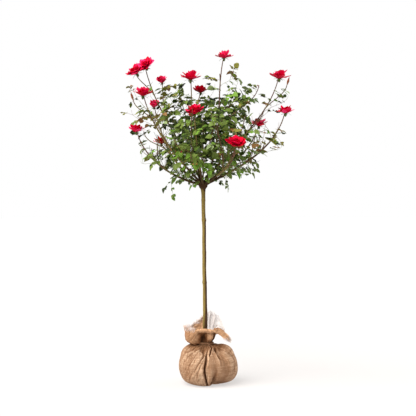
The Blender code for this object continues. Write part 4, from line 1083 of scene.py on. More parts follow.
MASSES = (
    Mass("right_low", "bough_right_low", 1, (
        Shoot((0.358, -0.030, 1.226), 0.074),
        Shoot((0.262, -0.110, 1.085), 0, 0.12),
        Shoot((0.225, -0.010, 1.125), 0, 0.25),
    )),
    Mass("right_high", "bough_right_high", 1, (
        Shoot((0.338, 0.070, 1.398), 0.086),
        Shoot((0.372, 0.040, 1.352), BUD, 0.66),
        Shoot((0.265, 0.010, 1.235), 0, 0.30),
    )),
    Mass("right_back", "bough_back_right", 1, (
        Shoot((0.250, 0.150, 1.186), 0.076),
        Shoot((0.225, 0.225, 1.060), 0, 0.15),
    )),
    Mass("back_right", "bough_back_right", 0.62, (
        Shoot((0.150, 0.270, 1.105), 0.078, 0, (0.25, 0.75, 0.6)),
        Shoot((0.045, 0.300, 1.190), 0, 0.30),
        Shoot((0.080, 0.250, 0.975), 0, 0.10),
    )),
    Mass("back_left", "bough_back_left", 1, (
        Shoot((-0.053, 0.275, 1.258), 0.080, 0, (-0.1, 0.5, 0.8)),
        Shoot((-0.130, 0.300, 1.075), 0.074, 0.18, (-0.3, 0.7, 0.6)),
        Shoot((-0.150, 0.230, 1.180), 0, 0.40),
    )),
    Mass("left_back", "bough_left_back", 1, (
        Shoot((-0.238, 0.120, 1.268), 0.047, 0, (0.1, -0.5, 0.9)),
        Shoot((-0.205, 0.130, 1.102), 0.070, 0.22),
        Shoot((-0.290, 0.170, 1.150), 0, 0.30),
    )),
    Mass("left_low", "bough_left_low", 1, (
        Shoot((-0.309, -0.020, 1.144), 0.074),
        Shoot((-0.235, -0.110, 1.050), 0, 0.16),
        Shoot((-0.215, 0.020, 1.120), 0, 0.30),
    )),
    Mass("left_high", "bough_left_high", 1, (
        Shoot((-0.274, -0.100, 1.298), 0.084),
        Shoot((-0.315, -0.115, 1.262), BUD, 0.66),
        Shoot((-0.205, -0.150, 1.170), 0, 0.28),
    )),
    Mass("top_left", "bough_top_left", 1, (
        Shoot((-0.275, 0.020, 1.438), 0.084, 0, (-0.40, -0.55, 0.75)),
        Shoot((-0.314, -0.030, 1.403), 0.082, 0.70, (-0.5, -0.35, 0.80)),
        Shoot((-0.200, 0.080, 1.376), 0.045, 0.42, (-0.1, -0.5, 0.9)),
    )),
    Mass("top_middle", "bough_top_left", 0.55, (
        Shoot((-0.066, -0.050, 1.376), 0.086),
        Shoot((-0.022, 0.060, 1.330), 0.070, 0.45),
        Shoot((-0.110, 0.050, 1.290), 0, 0.30),
    )),
    Mass("top_right", "bough_top_right", 1, (
        Shoot((0.084, 0.000, 1.478), 0.074),
        Shoot((0.245, 0.060, 1.350), 0, 0.26),
        Shoot((0.120, 0.110, 1.300), 0, 0.34),
        Shoot((0.065, -0.015, 1.392), STUB, 0.72),
    )),
    Mass("middle", "stem", 1, (
        Shoot((-0.010, -0.060, 1.235)),
        Shoot((0.035, -0.115, 1.150), 0, 0.16),
        Shoot((-0.085, -0.050, 1.120), 0, 0.24),
        Shoot((-0.035, 0.070, 1.200), 0, 0.34),
    )),
    Mass("front_right", "bough_front_right", 1, (
        Shoot((0.131, -0.280, 1.066), 0.082, 0, (0.10, -0.48, 0.88)),
        Shoot((0.045, -0.235, 1.180), 0, 0.20),
        Shoot((0.175, -0.150, 1.195), 0, 0.30),
    )),
    Mass("front_left", "bough_front_left", 1, (
        Shoot((-0.047, -0.200, 1.208), 0.085, 0, (-0.1, -0.25, 1)),
        Shoot((-0.130, -0.255, 1.080), 0, 0.20),
        Shoot((-0.060, -0.300, 1.015), 0, 0.10),
    )),
)

BOUGHS = {
    "bough_right_low": Bough(-4, 24, 0.0068),
    "bough_right_high": Bough(34, 52, 0.0052),
    "bough_back_right": Bough(60, 20, 0.0062),
    "bough_back_left": Bough(104, 26, 0.0058),
    "bough_left_back": Bough(148, 24, 0.0056),
    "bough_left_low": Bough(188, 12, 0.0060),
    "bough_left_high": Bough(228, 34, 0.0056),
    "bough_top_left": Bough(150, 60, 0.0052),
    "bough_top_right": Bough(330, 60, 0.0052),
    "bough_front_right": Bough(308, 24, 0.0058),
    "bough_front_left": Bough(264, 22, 0.0056),
}
BOUGH_LENGTH = 0.115
BOUGH_ROOT = UNION_RADIUS / 2
BOUGH_COLLAR = 0.45  # extra thickness where it joins the union
BOUGH_COLLAR_LENGTH = 0.012
BOUGH_RELIEF = 0.16  # height of the bark's ridges, of the limb's radius
BOUGH_BARK = ((0.066, 0.038, 0.013), (0.036, 0.019, 0.008), (0.020, 0.010, 0.006))
JOINT_SWELL = 0.22  # extra thickness at a leaf joint
JOINT_LENGTH = 0.0022
BOUGH_SIDES = 20
BOUGH_STEP = 0.0022
MIDDLE_RADIUS = 0.0036
CANE_STEPS = 12
CANE_LEAD = 0.40
CANE_TRAIL = 0.34
CANE_SPREAD = 0.22
CANE_TAPER = 1.1
CANE_TIP_RADIUS = 0.0019
UP = Vector((0, 0, 1))


def heading(azimuth, climb):
    lift = math.radians(climb)
    return Vector(on_circle(math.cos(lift), math.radians(azimuth), math.sin(lift)))


def bezier(start, lead, trail, end, steps):
    points = []
    for i in range(steps + 1):
        t = i / steps
        away = start * (1 - t) ** 3 + lead * 3 * t * (1 - t) ** 2
        points.append(away + trail * 3 * t * t * (1 - t) + end * t**3)
    return points


def lengths_along(points):
    total = [0.0]
    for a, b in zip(points, points[1:]):
        total.append(total[-1] + (b - a).length)
    return total


def length_of(points):
    return lengths_along(points)[-1]


def point_along(points, distance):
    """The point and direction at this distance along a line of points."""
    run = 0.0
    for a, b in zip(points, points[1:]):
        step = (b - a).length
        if run + step >= distance or b is points[-1]:
            return a.lerp(b, min(1.0, (distance - run) / step)), (b - a).normalized()
        run += step


def cane_line(start, way, tip, steps=CANE_STEPS):
    """An arching cane: it leaves along way, and ends upright under its tip."""
    reach = (tip - start).length
    outward = Vector((tip.x - start.x, tip.y - start.y, 0))
    ending = (UP + outward.normalized() * CANE_SPREAD).normalized()
    lead = start + way * reach * CANE_LEAD
    return bezier(start, lead, tip - ending * reach * CANE_TRAIL, tip, steps)


def trim_line(points, start, end):
    run = lengths_along(points)
    inner = [point for point, here in zip(points, run) if start + 0.001 < here < end - 0.001]
    return [point_along(points, start)[0], *inner, point_along(points, end)[0]]


def taper(points, foot, tip, passed=0.0, whole=None):
    """Radii that thin from foot to tip over the whole limb, of which some may be passed."""
    run = lengths_along(points)
    whole = whole or run[-1]
    left = [max(0.0, 1 - (passed + here) / whole) for here in run]
    return [tip + (foot - tip) * share**CANE_TAPER for share in left]


class Limb(NamedTuple):
    points: list
    radii: list
    bloom: float
    nod: Vector


def bough_line(name):
    """The bough and the main cane that grows on from its end, as one arch from the union."""
    way = heading(BOUGHS[name].azimuth, BOUGHS[name].climb)
    tip = next(mass.shoots[0].tip for mass in MASSES if mass.bough == name and mass.fork == 1)
    return cane_line(stem_axis(UNION_HEIGHT), way, Vector(tip))


def bark_tube(heap, points, radii, sides, step, relief, seed, collar=0.0, joints=0.0):
    """A limb with the ridges, bumps and leaf joints of its bark."""
    line, run = resample(smooth_line(points, 6), max(6, int(length_of(points) / step)))
    plain = np.interp(run, lengths_along(points), radii)
    table = np.empty((len(line), sides))
    for ring, (here, radius) in enumerate(zip(run, plain)):
        swell = 1 + collar * math.exp(-here / BOUGH_COLLAR_LENGTH)
        if joints:
            from_joint = abs((here + joints * 0.4) % joints - joints / 2)
            swell += JOINT_SWELL * max(0.0, 1 - from_joint / JOINT_LENGTH)
        for side in range(sides):
            turn = math.tau * side / sides
            sample = Vector(on_circle(radius * 300, turn, here * 55 + seed * 7.3))
            table[ring, side] = radius * (swell + relief * noise.noise(sample))
            table[ring, side] += radius * relief * 0.6 * noise.noise(sample * 3.1)
    add_tube(heap, line, table, sides)


bough_wood = Heap()
for seed, (name, bough) in enumerate(BOUGHS.items()):
    line = bough_line(name)
    points = trim_line(line, BOUGH_ROOT, BOUGH_LENGTH + 0.002)
    radii = taper(points, bough.radius, CANE_TIP_RADIUS, BOUGH_ROOT, length_of(line))
    bark_tube(
        bough_wood, points, radii, BOUGH_SIDES, BOUGH_STEP, BOUGH_RELIEF, seed, BOUGH_COLLAR
    )
bough_bark = bark_finish("bough_bark", *BOUGH_BARK, 0.2, 0.85)
bough_wood.piece("boughs", bough_bark, "cane_bark", list(BOUGHS))


# Canes
# Beyond the boughs the canes arch out and turn up. They are olive where they are older, and
# purplish-brown towards the tips, and they branch into thinner shoots.

FORK_THINNING = 0.72
FORK_FOLLOW = 0.6
SIDE_PULL = 0.8
SIDE_THICKNESS = 0.35
MASS_NODES = [mass.name for mass in MASSES]
CANE_SIDES = 9
CANE_PIECE = 0.004
CANE_RELIEF = 0.10
CANE_JOINTS = 0.031
OLD_WOOD = 0.46  # share of a main cane that is olive
GREEN_WOOD = 0.85  # the same, for each cane of the masses that stay green nearly to their tips
GREEN_MASSES = ("middle", "front_left", "left_back", "left_high", "top_left", "top_middle")
CANE_COLOURS = {
    "canes_olive": ((0.190, 0.155, 0.042), (0.110, 0.068, 0.025), (0.065, 0.038, 0.017)),
    "canes_purple": ((0.110, 0.046, 0.030), (0.090, 0.060, 0.024), (0.055, 0.022, 0.016)),
}


def main_limb(mass):
    """The mass's own main cane, from the end or the side of its bough to its tip."""
    shoot = mass.shoots[0]
    tip = Vector(shoot.tip)
    if mass.bough == "stem":
        points = cane_line(stem_axis(UNION_TOP - 0.002), UP, tip, 2 * CANE_STEPS)
        radii = taper(points, MIDDLE_RADIUS, CANE_TIP_RADIUS)
    elif mass.fork == 1:
        line = bough_line(mass.bough)
        whole = length_of(line)
        points = trim_line(line, BOUGH_LENGTH, whole)
        radii = taper(points, BOUGHS[mass.bough].radius, CANE_TIP_RADIUS, BOUGH_LENGTH, whole)
    else:
        start, along = point_along(bough_line(mass.bough), BOUGH_LENGTH * mass.fork)
        way = (along * FORK_FOLLOW + (tip - start).normalized()).normalized()
        points = cane_line(start, way, tip)
        radii = taper(points, BOUGHS[mass.bough].radius * FORK_THINNING, CANE_TIP_RADIUS)
    return Limb(points, radii, shoot.bloom, Vector(shoot.nod).normalized())


def side_limb(main, shoot):
    """A shoot that branches from the main cane."""
    start, along = point_along(main.points, length_of(main.points) * shoot.branches_at)
    tip = Vector(shoot.tip)
    way = (along + (tip - start).normalized() * SIDE_PULL).normalized()
    points = cane_line(start, way, tip)
    thickness = (main.radii[0] - CANE_TIP_RADIUS) * (1 - shoot.branches_at) * SIDE_THICKNESS
    radii = taper(points, CANE_TIP_RADIUS + thickness, CANE_TIP_RADIUS)
    return Limb(points, radii, shoot.bloom, Vector(shoot.nod).normalized())


def split_limb(limb, share):
    """The older and the younger stretch of a limb."""
    run = lengths_along(limb.points)
    cut = run[-1] * share
    first = trim_line(limb.points, 0, cut + 0.001)
    second = trim_line(limb.points, cut, run[-1])
    radii = [np.interp(np.array(lengths_along(part)) + start, run, limb.radii)
             for part, start in ((first, 0), (second, cut))]
    return (first, radii[0]), (second, radii[1])


limbs = {}
for mass in MASSES:
    main = main_limb(mass)
    limbs[mass.name] = [main] + [side_limb(main, shoot) for shoot in mass.shoots[1:]]
every_limb = [(name, limb) for name, grown in limbs.items() for limb in grown]

canes = {name: Heap() for name in CANE_COLOURS}
for seed, (name, limb) in enumerate(every_limb, 1):
    share = OLD_WOOD if limb is limbs[name][0] else OLD_WOOD / 2
    if name in GREEN_MASSES:
        share = GREEN_WOOD
    for heap, (points, radii) in zip(canes.values(), split_limb(limb, share)):
        bark_tube(
            heap, points, radii, CANE_SIDES, CANE_PIECE, CANE_RELIEF, seed, joints=CANE_JOINTS
        )
for name, heap in canes.items():
    heap.piece(name, bark_finish(name, *CANE_COLOURS[name], 0.0, 0.5), "cane_bark", MASS_NODES)


# Twigs
# Short side twigs stand off the canes in turn, each with a few leaves. They keep to their own
# mass's share of the head, inside the head's outline, and clear of the other canes.

HEAD_REACH = 0.385
HEAD_FLOOR = (
    # distance from the axis, and how low the leaves hang there
    (0.0, 0.940), (0.050, 0.920), (0.090, 0.885), (0.160, 0.912), (0.230, 0.950),
    (0.300, 1.020), (0.385, 1.130),
)
SPUR_CEILING = 1.318
SPUR_CEILING_FALL = 0.25
GOLDEN_ANGLE = math.radians(137.5)
SPUR_STEP = 0.043
SPUR_REACH = 0.70
FIRST_SPUR = 0.030
SPUR_LENGTHS = (0.050, 0.105)
SPUR_RISE = 0.25
TWIG_RADII = (0.00125, 0.0010, 0.00065)
TWIG_ROOM = 0.010  # from another mass's limb
TWIG_RINGS = 12
UNEVEN = (0.85, 1.15)
FINE_TWIG_CHANCE = 0.45
OUTER_REACH = 0.24
OUTER_TWIGS_MISSING = 0.45
BARE_BOUGH = 0.040  # bare wood next to the union
BOUGH_SPUR_STEP = 0.013
BOUGH_SPUR_LENGTHS = (0.035, 0.080)
LEADER_STEP = 0.085
LEADER_STRETCH = (0.22, 0.66)  # share of a cane between which leaders leave it
LEADER_LEAN = 0.45
OPEN_LEADERS_MISSING = 0.6
LEADER_LENGTHS = (0.09, 0.19)
LEADER_CEILING = 1.305
LEADER_CEILING_FALL = 0.55
RED_HEIGHT = 1.16  # most of the twigs that end farther than this from the foot are red
RED_CHANCES = (0.75, 0.25)  # for those twigs, and then for every twig
TWIG_COLOURS = {
    "twigs_green": ((0.165, 0.190, 0.045), (0.150, 0.120, 0.035), (0.100, 0.070, 0.030)),
    "twigs_red": ((0.190, 0.075, 0.055), (0.140, 0.090, 0.040), (0.100, 0.035, 0.030)),
}
LEADERS = (
    # mass, where on its main cane the leafy shoot leaves it, and the shoot's tip
    ("top_left", 0.80, (-0.238, 0.000, 1.358)), ("top_left", 0.52, (-0.190, 0.020, 1.335)),
    ("top_left", 0.46, (-0.114, 0.030, 1.350)), ("top_left", 0.60, (-0.246, -0.040, 1.300)),
    ("top_middle", 0.55, (0.003, 0.000, 1.352)), ("top_middle", 0.50, (0.044, 0.030, 1.352)),
    ("top_middle", 0.45, (-0.150, -0.010, 1.290)), ("top_right", 0.50, (0.147, 0.030, 1.366)),
    ("top_right", 0.42, (0.183, 0.050, 1.318)), ("top_right", 0.70, (0.112, -0.010, 1.372)),
    ("top_right", 0.34, (0.200, -0.030, 1.265)), ("right_high", 0.62, (0.378, 0.050, 1.305)),
    ("right_high", 0.50, (0.300, 0.040, 1.260)), ("right_low", 0.55, (0.330, -0.010, 1.175)),
    ("right_low", 0.40, (0.345, -0.030, 1.075)), ("left_high", 0.55, (-0.330, -0.040, 1.228)),
    ("left_high", 0.72, (-0.318, -0.060, 1.322)), ("left_low", 0.62, (-0.300, -0.020, 1.085)),
    ("left_low", 0.36, (-0.290, -0.010, 1.000)), ("left_high", 0.40, (-0.245, -0.020, 1.232)),
    ("left_high", 0.30, (-0.212, -0.050, 1.160)), ("left_back", 0.45, (-0.232, 0.060, 1.110)),
    ("left_back", 0.60, (-0.190, 0.070, 1.225)), ("top_left", 0.70, (-0.205, 0.100, 1.330)),
    ("back_left", 0.60, (-0.060, 0.352, 1.130)), ("back_right", 0.60, (0.080, 0.345, 1.120)),
)
HANGERS = (
    # mass, how far out on its bough a thin twig hangs, and the twig's tip
    ("left_low", 0.105, (-0.152, -0.030, 0.900)), ("right_low", 0.075, (0.092, -0.020, 0.932)),
)
HEART_MIDDLE = 0.012
HEART_PROFILE = (
    # height, and how far out from its middle the head is in full leaf there
    (0.860, 0.100), (0.900, 0.138), (0.960, 0.162), (1.040, 0.175), (1.180, 0.200),
    (1.230, 0.190), (1.270, 0.158), (1.310, 0.085),
)


def cell_seed(grown):
    outer = [point for limb in grown for point in limb.points[len(limb.points) // 2:]]
    return sum(outer, Vector()) / len(outer)


seeds = {name: cell_seed(grown) for name, grown in limbs.items()}


def in_cell(name, point, slack=0.0):
    """True nearer to this mass's seed than to any other."""
    own = seeds[name]
    for other in seeds.values():
        if other is not own and (point - (own + other) / 2).dot((other - own).normalized()) > slack:
            return False
    return True


def in_head(point, ceiling=False):
    reach = math.hypot(point.x, point.y)
    if reach > HEAD_REACH or point.z < float(np.interp(reach, *zip(*HEAD_FLOOR))):
        return False
    return not ceiling or point.z < SPUR_CEILING - SPUR_CEILING_FALL * reach


def fullness_at(point):
    """1 in the full heart of the head, and 0 out along the open shoots."""
    levels, reaches = zip(*HEART_PROFILE)
    share = math.hypot(point.x - HEART_MIDDLE, point.y) / float(np.interp(point.z, levels, reaches))
    sideways, upward = smooth_step(0.95, 1.30, share), smooth_step(1.29, 1.37, point.z)
    return (1 - float(sideways)) * (1 - float(upward))


limb_spots = [(name, point) for name, limb in every_limb for point in limb.points]
limb_tree = kdtree.KDTree(len(limb_spots))
for index, (_, point) in enumerate(limb_spots):
    limb_tree.insert(point, index)
limb_tree.balance()


def clear_of_limbs(name, point, room):
    return all(limb_spots[index][0] == name for _, index, _ in limb_tree.find_range(point, room))


def off_side(along, turn):
    """The direction square to a limb, at this turn round it."""
    across = along.orthogonal().normalized()
    across.rotate(Matrix.Rotation(turn, 3, along))
    return across


def stand_off(along, turn, spread, hang=0.18):
    """The direction of a leaf or twig that stands off its cane at this turn round it."""
    way = along * math.cos(spread) + off_side(along, turn) * math.sin(spread)
    way.z -= hang
    return way.normalized()


def end_way(points):
    return (points[-1] - points[-2]).normalized()


class Twig(NamedTuple):
    mass: str
    points: list
    turn: float
    bare: bool  # leafy only towards its tip


dice = random.Random("side twigs")
twigs = []
leaders = []
hangers = []


def uneven_steps(start, end, step, spread=UNEVEN):
    """Distances along a limb, roughly a step apart."""
    distance = start
    while distance < end:
        yield distance
        distance += step * dice.uniform(*spread)


def add_fine_twig(mass, spur, turn, length):
    """A short bare fork of a side twig, leafy only at its tip."""
    fork, ahead = point_along(spur, length * dice.uniform(0.3, 0.6))
    lean = stand_off(ahead, turn + dice.uniform(1.5, 4.5), 0.8, -0.1)
    tip = fork + lean * length * dice.uniform(0.35, 0.6)
    if in_head(tip, True):
        bend = UP * length * 0.06
        twigs.append(Twig(mass, [fork, (fork + tip) / 2 + bend, tip + bend * 2], turn, True))


def add_spurs(mass, points, start, end, step, lengths, rise):
    """Side twigs that stand off a limb by turns, where they have room."""
    turn = dice.uniform(0, math.tau)
    for distance in uneven_steps(start, end, step):
        root, along = point_along(points, distance)
        length = dice.uniform(*lengths)
        way = (along / 2 + off_side(along, turn)).normalized()
        tip = root + way * length + UP * length * rise
        trail = tip - (UP * rise * 4 + way) * length / 5
        spur = bezier(root, root + way * length / 3, trail, tip, 5)
        outer = math.hypot(tip.x, tip.y) > OUTER_REACH
        fits = all(in_head(point, True) and in_cell(mass, point) for point in spur[1:])
        fits = fits and not (outer and dice.random() < OUTER_TWIGS_MISSING)
        if fits and all(clear_of_limbs(mass, point, TWIG_ROOM) for point in spur[2:]):
            twigs.append(Twig(mass, spur, turn, False))
            if dice.random() < FINE_TWIG_CHANCE:
                add_fine_twig(mass, spur, turn, length)
        turn += GOLDEN_ANGLE


bough_ends = {}
for mass in MASSES:
    for limb in limbs[mass.name]:
        end = length_of(limb.points) * SPUR_REACH
        add_spurs(mass.name, limb.points, FIRST_SPUR, end, SPUR_STEP, SPUR_LENGTHS, SPUR_RISE)
    if mass.bough != "stem" and mass.fork == 1:
        points = trim_line(bough_line(mass.bough), BARE_BOUGH, BOUGH_LENGTH)
        bough_ends[mass.name] = points
        end = BOUGH_LENGTH - BARE_BOUGH
        add_spurs(mass.name, points, 0, end, BOUGH_SPUR_STEP, BOUGH_SPUR_LENGTHS, 0)


def add_leader(mass, limb, distance, tip, bare=False):
    """A thin leafy shoot that rises among the canes to this tip."""
    root, along = point_along(limb.points, distance)
    length = (tip - root).length
    ahead = (along + (tip - root).normalized()).normalized()
    points = bezier(root, root + ahead * length * 0.4, tip - UP * length * 0.3, tip, 7)
    leaders.append(Twig(mass, points, 0.0, bare))


for name, distance, tip in HANGERS:
    root, along = point_along(bough_line("bough_" + name), distance)
    tip = Vector(tip)
    points = bezier(root, root + along * 0.02, tip + UP * 0.02, tip, 6)
    hangers.append(Twig(name, points, 0.0, True))
for name, share, tip in LEADERS:
    main = limbs[name][0]
    add_leader(name, main, length_of(main.points) * share, Vector(tip), True)
for name, limb in every_limb:
    start, end = [length_of(limb.points) * share for share in LEADER_STRETCH]
    for distance in uneven_steps(start, end, LEADER_STEP):
        length = dice.uniform(*LEADER_LENGTHS)
        tip = point_along(limb.points, distance)[0] + UP * length
        tip += heading(dice.uniform(0, 360), 0) * length * LEADER_LEAN
        past = max(0.0, math.hypot(tip.x, tip.y) - 0.20)
        ceiling = LEADER_CEILING - LEADER_CEILING_FALL * past
        fits = in_head(tip) and in_cell(name, tip, 0.02) and tip.z < ceiling
        if fits and (fullness_at(tip) > 0.3 or dice.random() > OPEN_LEADERS_MISSING):
            add_leader(name, limb, distance, tip)

twig_wood = {name: Heap() for name in TWIG_COLOURS}
for twig in twigs + leaders + hangers:
    line, _ = resample(smooth_line(twig.points, 4), TWIG_RINGS)
    radii = np.interp(np.linspace(0, 1, TWIG_RINGS), (0, 0.5, 1), TWIG_RADII)
    red = twig.points[-1].length > RED_HEIGHT and dice.random() < RED_CHANCES[0]
    red = red or dice.random() < RED_CHANCES[1]
    kind = "twigs_red" if red else "twigs_green"
    add_tube(twig_wood[kind], line, radii * (0.7 if twig.bare else 0.9), 6)
for name, heap in twig_wood.items():
    heap.piece(name, bark_finish(name, *TWIG_COLOURS[name], 0.0, 0.5), "cane_bark", MASS_NODES)


# Prickles
# Flattened, hooked prickles sit on the skin of the canes. They point a little down, and they
# are redder than the bark.

PRICKLE_STEP = 0.019
PRICKLE_UNEVEN = (0.5, 1.6)
PRICKLE_SIZES = (0.0030, 0.0052)
PRICKLE_LENGTH = 0.42  # half of its foot along the cane, of its height
PRICKLE_BREADTH = 0.13
PRICKLE_HOOK = 0.35
PRICKLE_TONES = ((0.15, 0.03, 0.02), (0.36, 0.16, 0.08))
PRICKLE_FACES = [(i, (i + 1) % 4, 4 + (i + 1) % 4, 4 + i) for i in range(4)]
PRICKLE_FACES += [(4 + i, 4 + (i + 1) % 4, 8) for i in range(4)] + [(3, 2, 1, 0)]

prickles = Heap()
dice = random.Random("prickles")
for _, limb in every_limb:
    run = lengths_along(limb.points)
    for distance in uneven_steps(0.01, run[-1] - 0.05, PRICKLE_STEP, PRICKLE_UNEVEN):
        spot, along = point_along(limb.points, distance)
        radius = float(np.interp(distance, run, limb.radii))
        out = off_side(along, dice.uniform(0, math.tau))
        size = dice.uniform(*PRICKLE_SIZES)
        foot = spot + out * radius * 0.8
        top = foot + out * size - along * size * PRICKLE_HOOK
        long = along * size * PRICKLE_LENGTH
        broad = along.cross(out) * size * PRICKLE_BREADTH
        base = [foot + long, foot + broad, foot - long, foot - broad]
        middle = [(corner + top) / 2 + along * size * 0.06 for corner in base]
        prickles.add([*base, *middle, top], PRICKLE_FACES)
prickle_finish, _ = mottled_finish("prickle_skin", PRICKLE_TONES, (0, 1), 60.0, 2.0, 0.45)
prickles.piece("prickles", prickle_finish, "cane_bark", MASS_NODES)


# Leaves
# Each is a stalk with five or seven toothed leaflets, folded along the midrib and softly
# glossy. They are darker in the heart of the head, which is painted shade, fresher below, and olive
# to bronze on new growth.

LEAF_LENGTH = 0.098
LEAF_SIZES = (0.72, 1.18)
OUTER_LEAF = 0.90  # size of a leaf out on the open canes, of one in the heart
LOW_LEAVES = 0.93  # leaves that start below it are small
LOW_LEAF = 0.75
LEAF_STEP = 0.029
LEAF_STANCE = math.radians(58)
LEAF_TILT = 0.70
LEAF_FACING = (0.65, 0.40)  # how far the leaves turn outward, low in the head and at its top
LEAF_ROOM = 0.0215
LEAF_TRIES = 5
BLOOM_CLEARANCE = 0.010
FIRST_LEAF = 0.025
BLOOM_STALK = 0.055
TIP_STALK = 0.004
OPEN_SHARE = 0.25  # of the leaves that grow out on the open canes
LEADER_SHARE = 0.75  # the same, on shoots without a bloom
GAP_WIDTH = 0.017
GAP_LEVELS = (0.17, 0.24)  # low in the head and at its top
HANGING_HEIGHT = 0.915  # leaves below it hang under the head, young and green
THREE_PAIRS = 0.28  # share of the leaves that have seven leaflets
LEAFLET_SPLAY = (52, 72)  # degrees off the stalk
LEAFLET_LEAN = 0.34
NEIGHBOUR_CHANCE = 0.30
STALK_SHARE = 0.72  # of the leaf's length
STALK_RADII = (0.0007, 0.0006, 0.00055, 0.0005, 0.00045, 0.0004)
STALK_COLOURS = {"leafstalks_green": (0.130, 0.180, 0.040), "leafstalks_red": (0.200, 0.075, 0.045)}
RED_STALKS = 0.7  # share of the stalks on new growth
LEAFLET_WIDTH = 0.78  # of its length
TEETH = 6


def leaflet_width(t):
    """Half of a leaflet's width at this share of its length."""
    return LEAFLET_WIDTH / 2 * math.sin(math.pi * t**0.78) ** 0.72


def leaflet_shape(fold, arch, twist, curl):
    """A toothed blade one unit long along +X, facing +Z, and its faces."""
    points = [(station / TEETH, 0) for station in range(TEETH + 1)]
    faces = []
    for side in (1, -1):
        notch = len(points)
        tooth = notch + TEETH + 1
        for station in range(TEETH + 1):
            inside = 0 < station < TEETH
            wide = leaflet_width(station / TEETH) if inside else 0
            points.append((station / TEETH, side * wide * 0.96))
        for station in range(TEETH):
            t = (station + 0.80) / TEETH
            points.append((min(t + 0.02, 0.985), side * leaflet_width(min(t, 0.999)) * 1.03))
            loop = [station, station + 1]
            if station < TEETH - 1:
                loop.append(notch + station + 1)
            loop.append(tooth + station)
            if station > 0:
                loop.append(notch + station)
            faces.append(loop if side == -1 else loop[::-1])
    shaped = []
    for x, y in points:
        z = abs(y) * fold - arch * x * x + curl * math.sin(x * 9) * abs(y)
        across = y * math.cos(twist * x) * (1 - 0.2 * fold * fold)
        shaped.append((x * (1 - 0.08 * arch), across, z + y * math.sin(twist * x)))
    return np.array(shaped), faces


LEAFLETS = [
    # fold, arch, twist and curl
    leaflet_shape(0.20, 0.16, 0.0, 0.10), leaflet_shape(0.38, 0.24, 0.30, 0.05),
    leaflet_shape(0.10, 0.10, -0.25, 0.20), leaflet_shape(0.60, 0.30, -0.15, 0.0),
    leaflet_shape(-0.12, 0.22, 0.20, 0.15),
]
TINTS = {
    "leaves_deep": (0.020, 0.036, 0.004),
    "leaves_mid": (0.118, 0.168, 0.030),
    "leaves_fresh": (0.125, 0.232, 0.028),
    "leaves_pale": (0.240, 0.310, 0.130),
    "leaves_olive": (0.185, 0.180, 0.034),
    "leaves_bronze": (0.200, 0.105, 0.035),
    "leaves_withered": (0.640, 0.330, 0.100),
}
NEIGHBOUR_TINTS = {
    "leaves_deep": ("leaves_mid",),
    "leaves_mid": ("leaves_deep", "leaves_fresh"),
    "leaves_fresh": ("leaves_mid",),
    "leaves_pale": ("leaves_fresh", "leaves_mid"),
    "leaves_olive": ("leaves_mid", "leaves_bronze"),
    "leaves_bronze": ("leaves_olive",),
    "leaves_withered": ("leaves_withered",),
}
# painted shade: the dark tint is dealt most in the heart of the head
HEART_SHADE_TINTS = (0.74, 0.18, 0.04, 0.02, 0.02, 0.0, 0.0)
TINTS_BY_MASS = {
    # how often each tint comes up, in their order above
    "left_low": (0.20, 0.34, 0.22, 0.06, 0.14, 0.04, 0.0),
    "front_left": (0.24, 0.38, 0.28, 0.04, 0.05, 0.01, 0.0),
    "top_left": (0.10, 0.16, 0.06, 0.04, 0.44, 0.20, 0.0),
    "left_high": (0.16, 0.24, 0.10, 0.06, 0.32, 0.12, 0.0),
    "left_back": (0.16, 0.24, 0.08, 0.04, 0.34, 0.14, 0.0),
    "top_middle": (0.20, 0.28, 0.08, 0.06, 0.30, 0.08, 0.0),
    "top_right": (0.18, 0.30, 0.10, 0.10, 0.26, 0.06, 0.0),
    "right_high": (0.18, 0.32, 0.14, 0.04, 0.25, 0.07, 0.0),
    "right_low": (0.14, 0.28, 0.14, 0.04, 0.28, 0.12, 0.0),
    "middle": (0.48, 0.32, 0.12, 0.03, 0.05, 0.0, 0.0),
    "front_right": (0.30, 0.38, 0.20, 0.03, 0.08, 0.01, 0.0),
}
COMMON_TINTS = (0.34, 0.34, 0.12, 0.04, 0.12, 0.04, 0.0)
WITHERED_SPOTS = (
    # where a few leaves have dried and not yet fallen
    (0.020, -0.150, 1.010), (0.125, -0.150, 1.040), (0.085, -0.120, 1.000), (0.150, -0.060, 1.130),
)
HEART = Vector((0.04, 0.0, 1.18))
HEART_RADIUS = 0.19


class Leaf(NamedTuple):
    mass: str
    root: Vector
    way: Vector
    face: Vector
    length: float


leaves = []
leaf_middles = {name: [] for name in MASS_NODES}
dice = random.Random("foliage")
blooms = [
    (limb.points[-1], limb.bloom) for _, limb in every_limb
    if limb.bloom > 0 and limb.points[-1].y < 0.2
]


def hides_bloom(point):
    """True close before a bloom, where few leaves stand."""
    for middle, diameter in blooms:
        away = math.hypot(point.x - middle.x, point.z - middle.z)
        if point.y < middle.y + 0.03 and away < diameter / 2 + BLOOM_CLEARANCE:
            return True
    return False


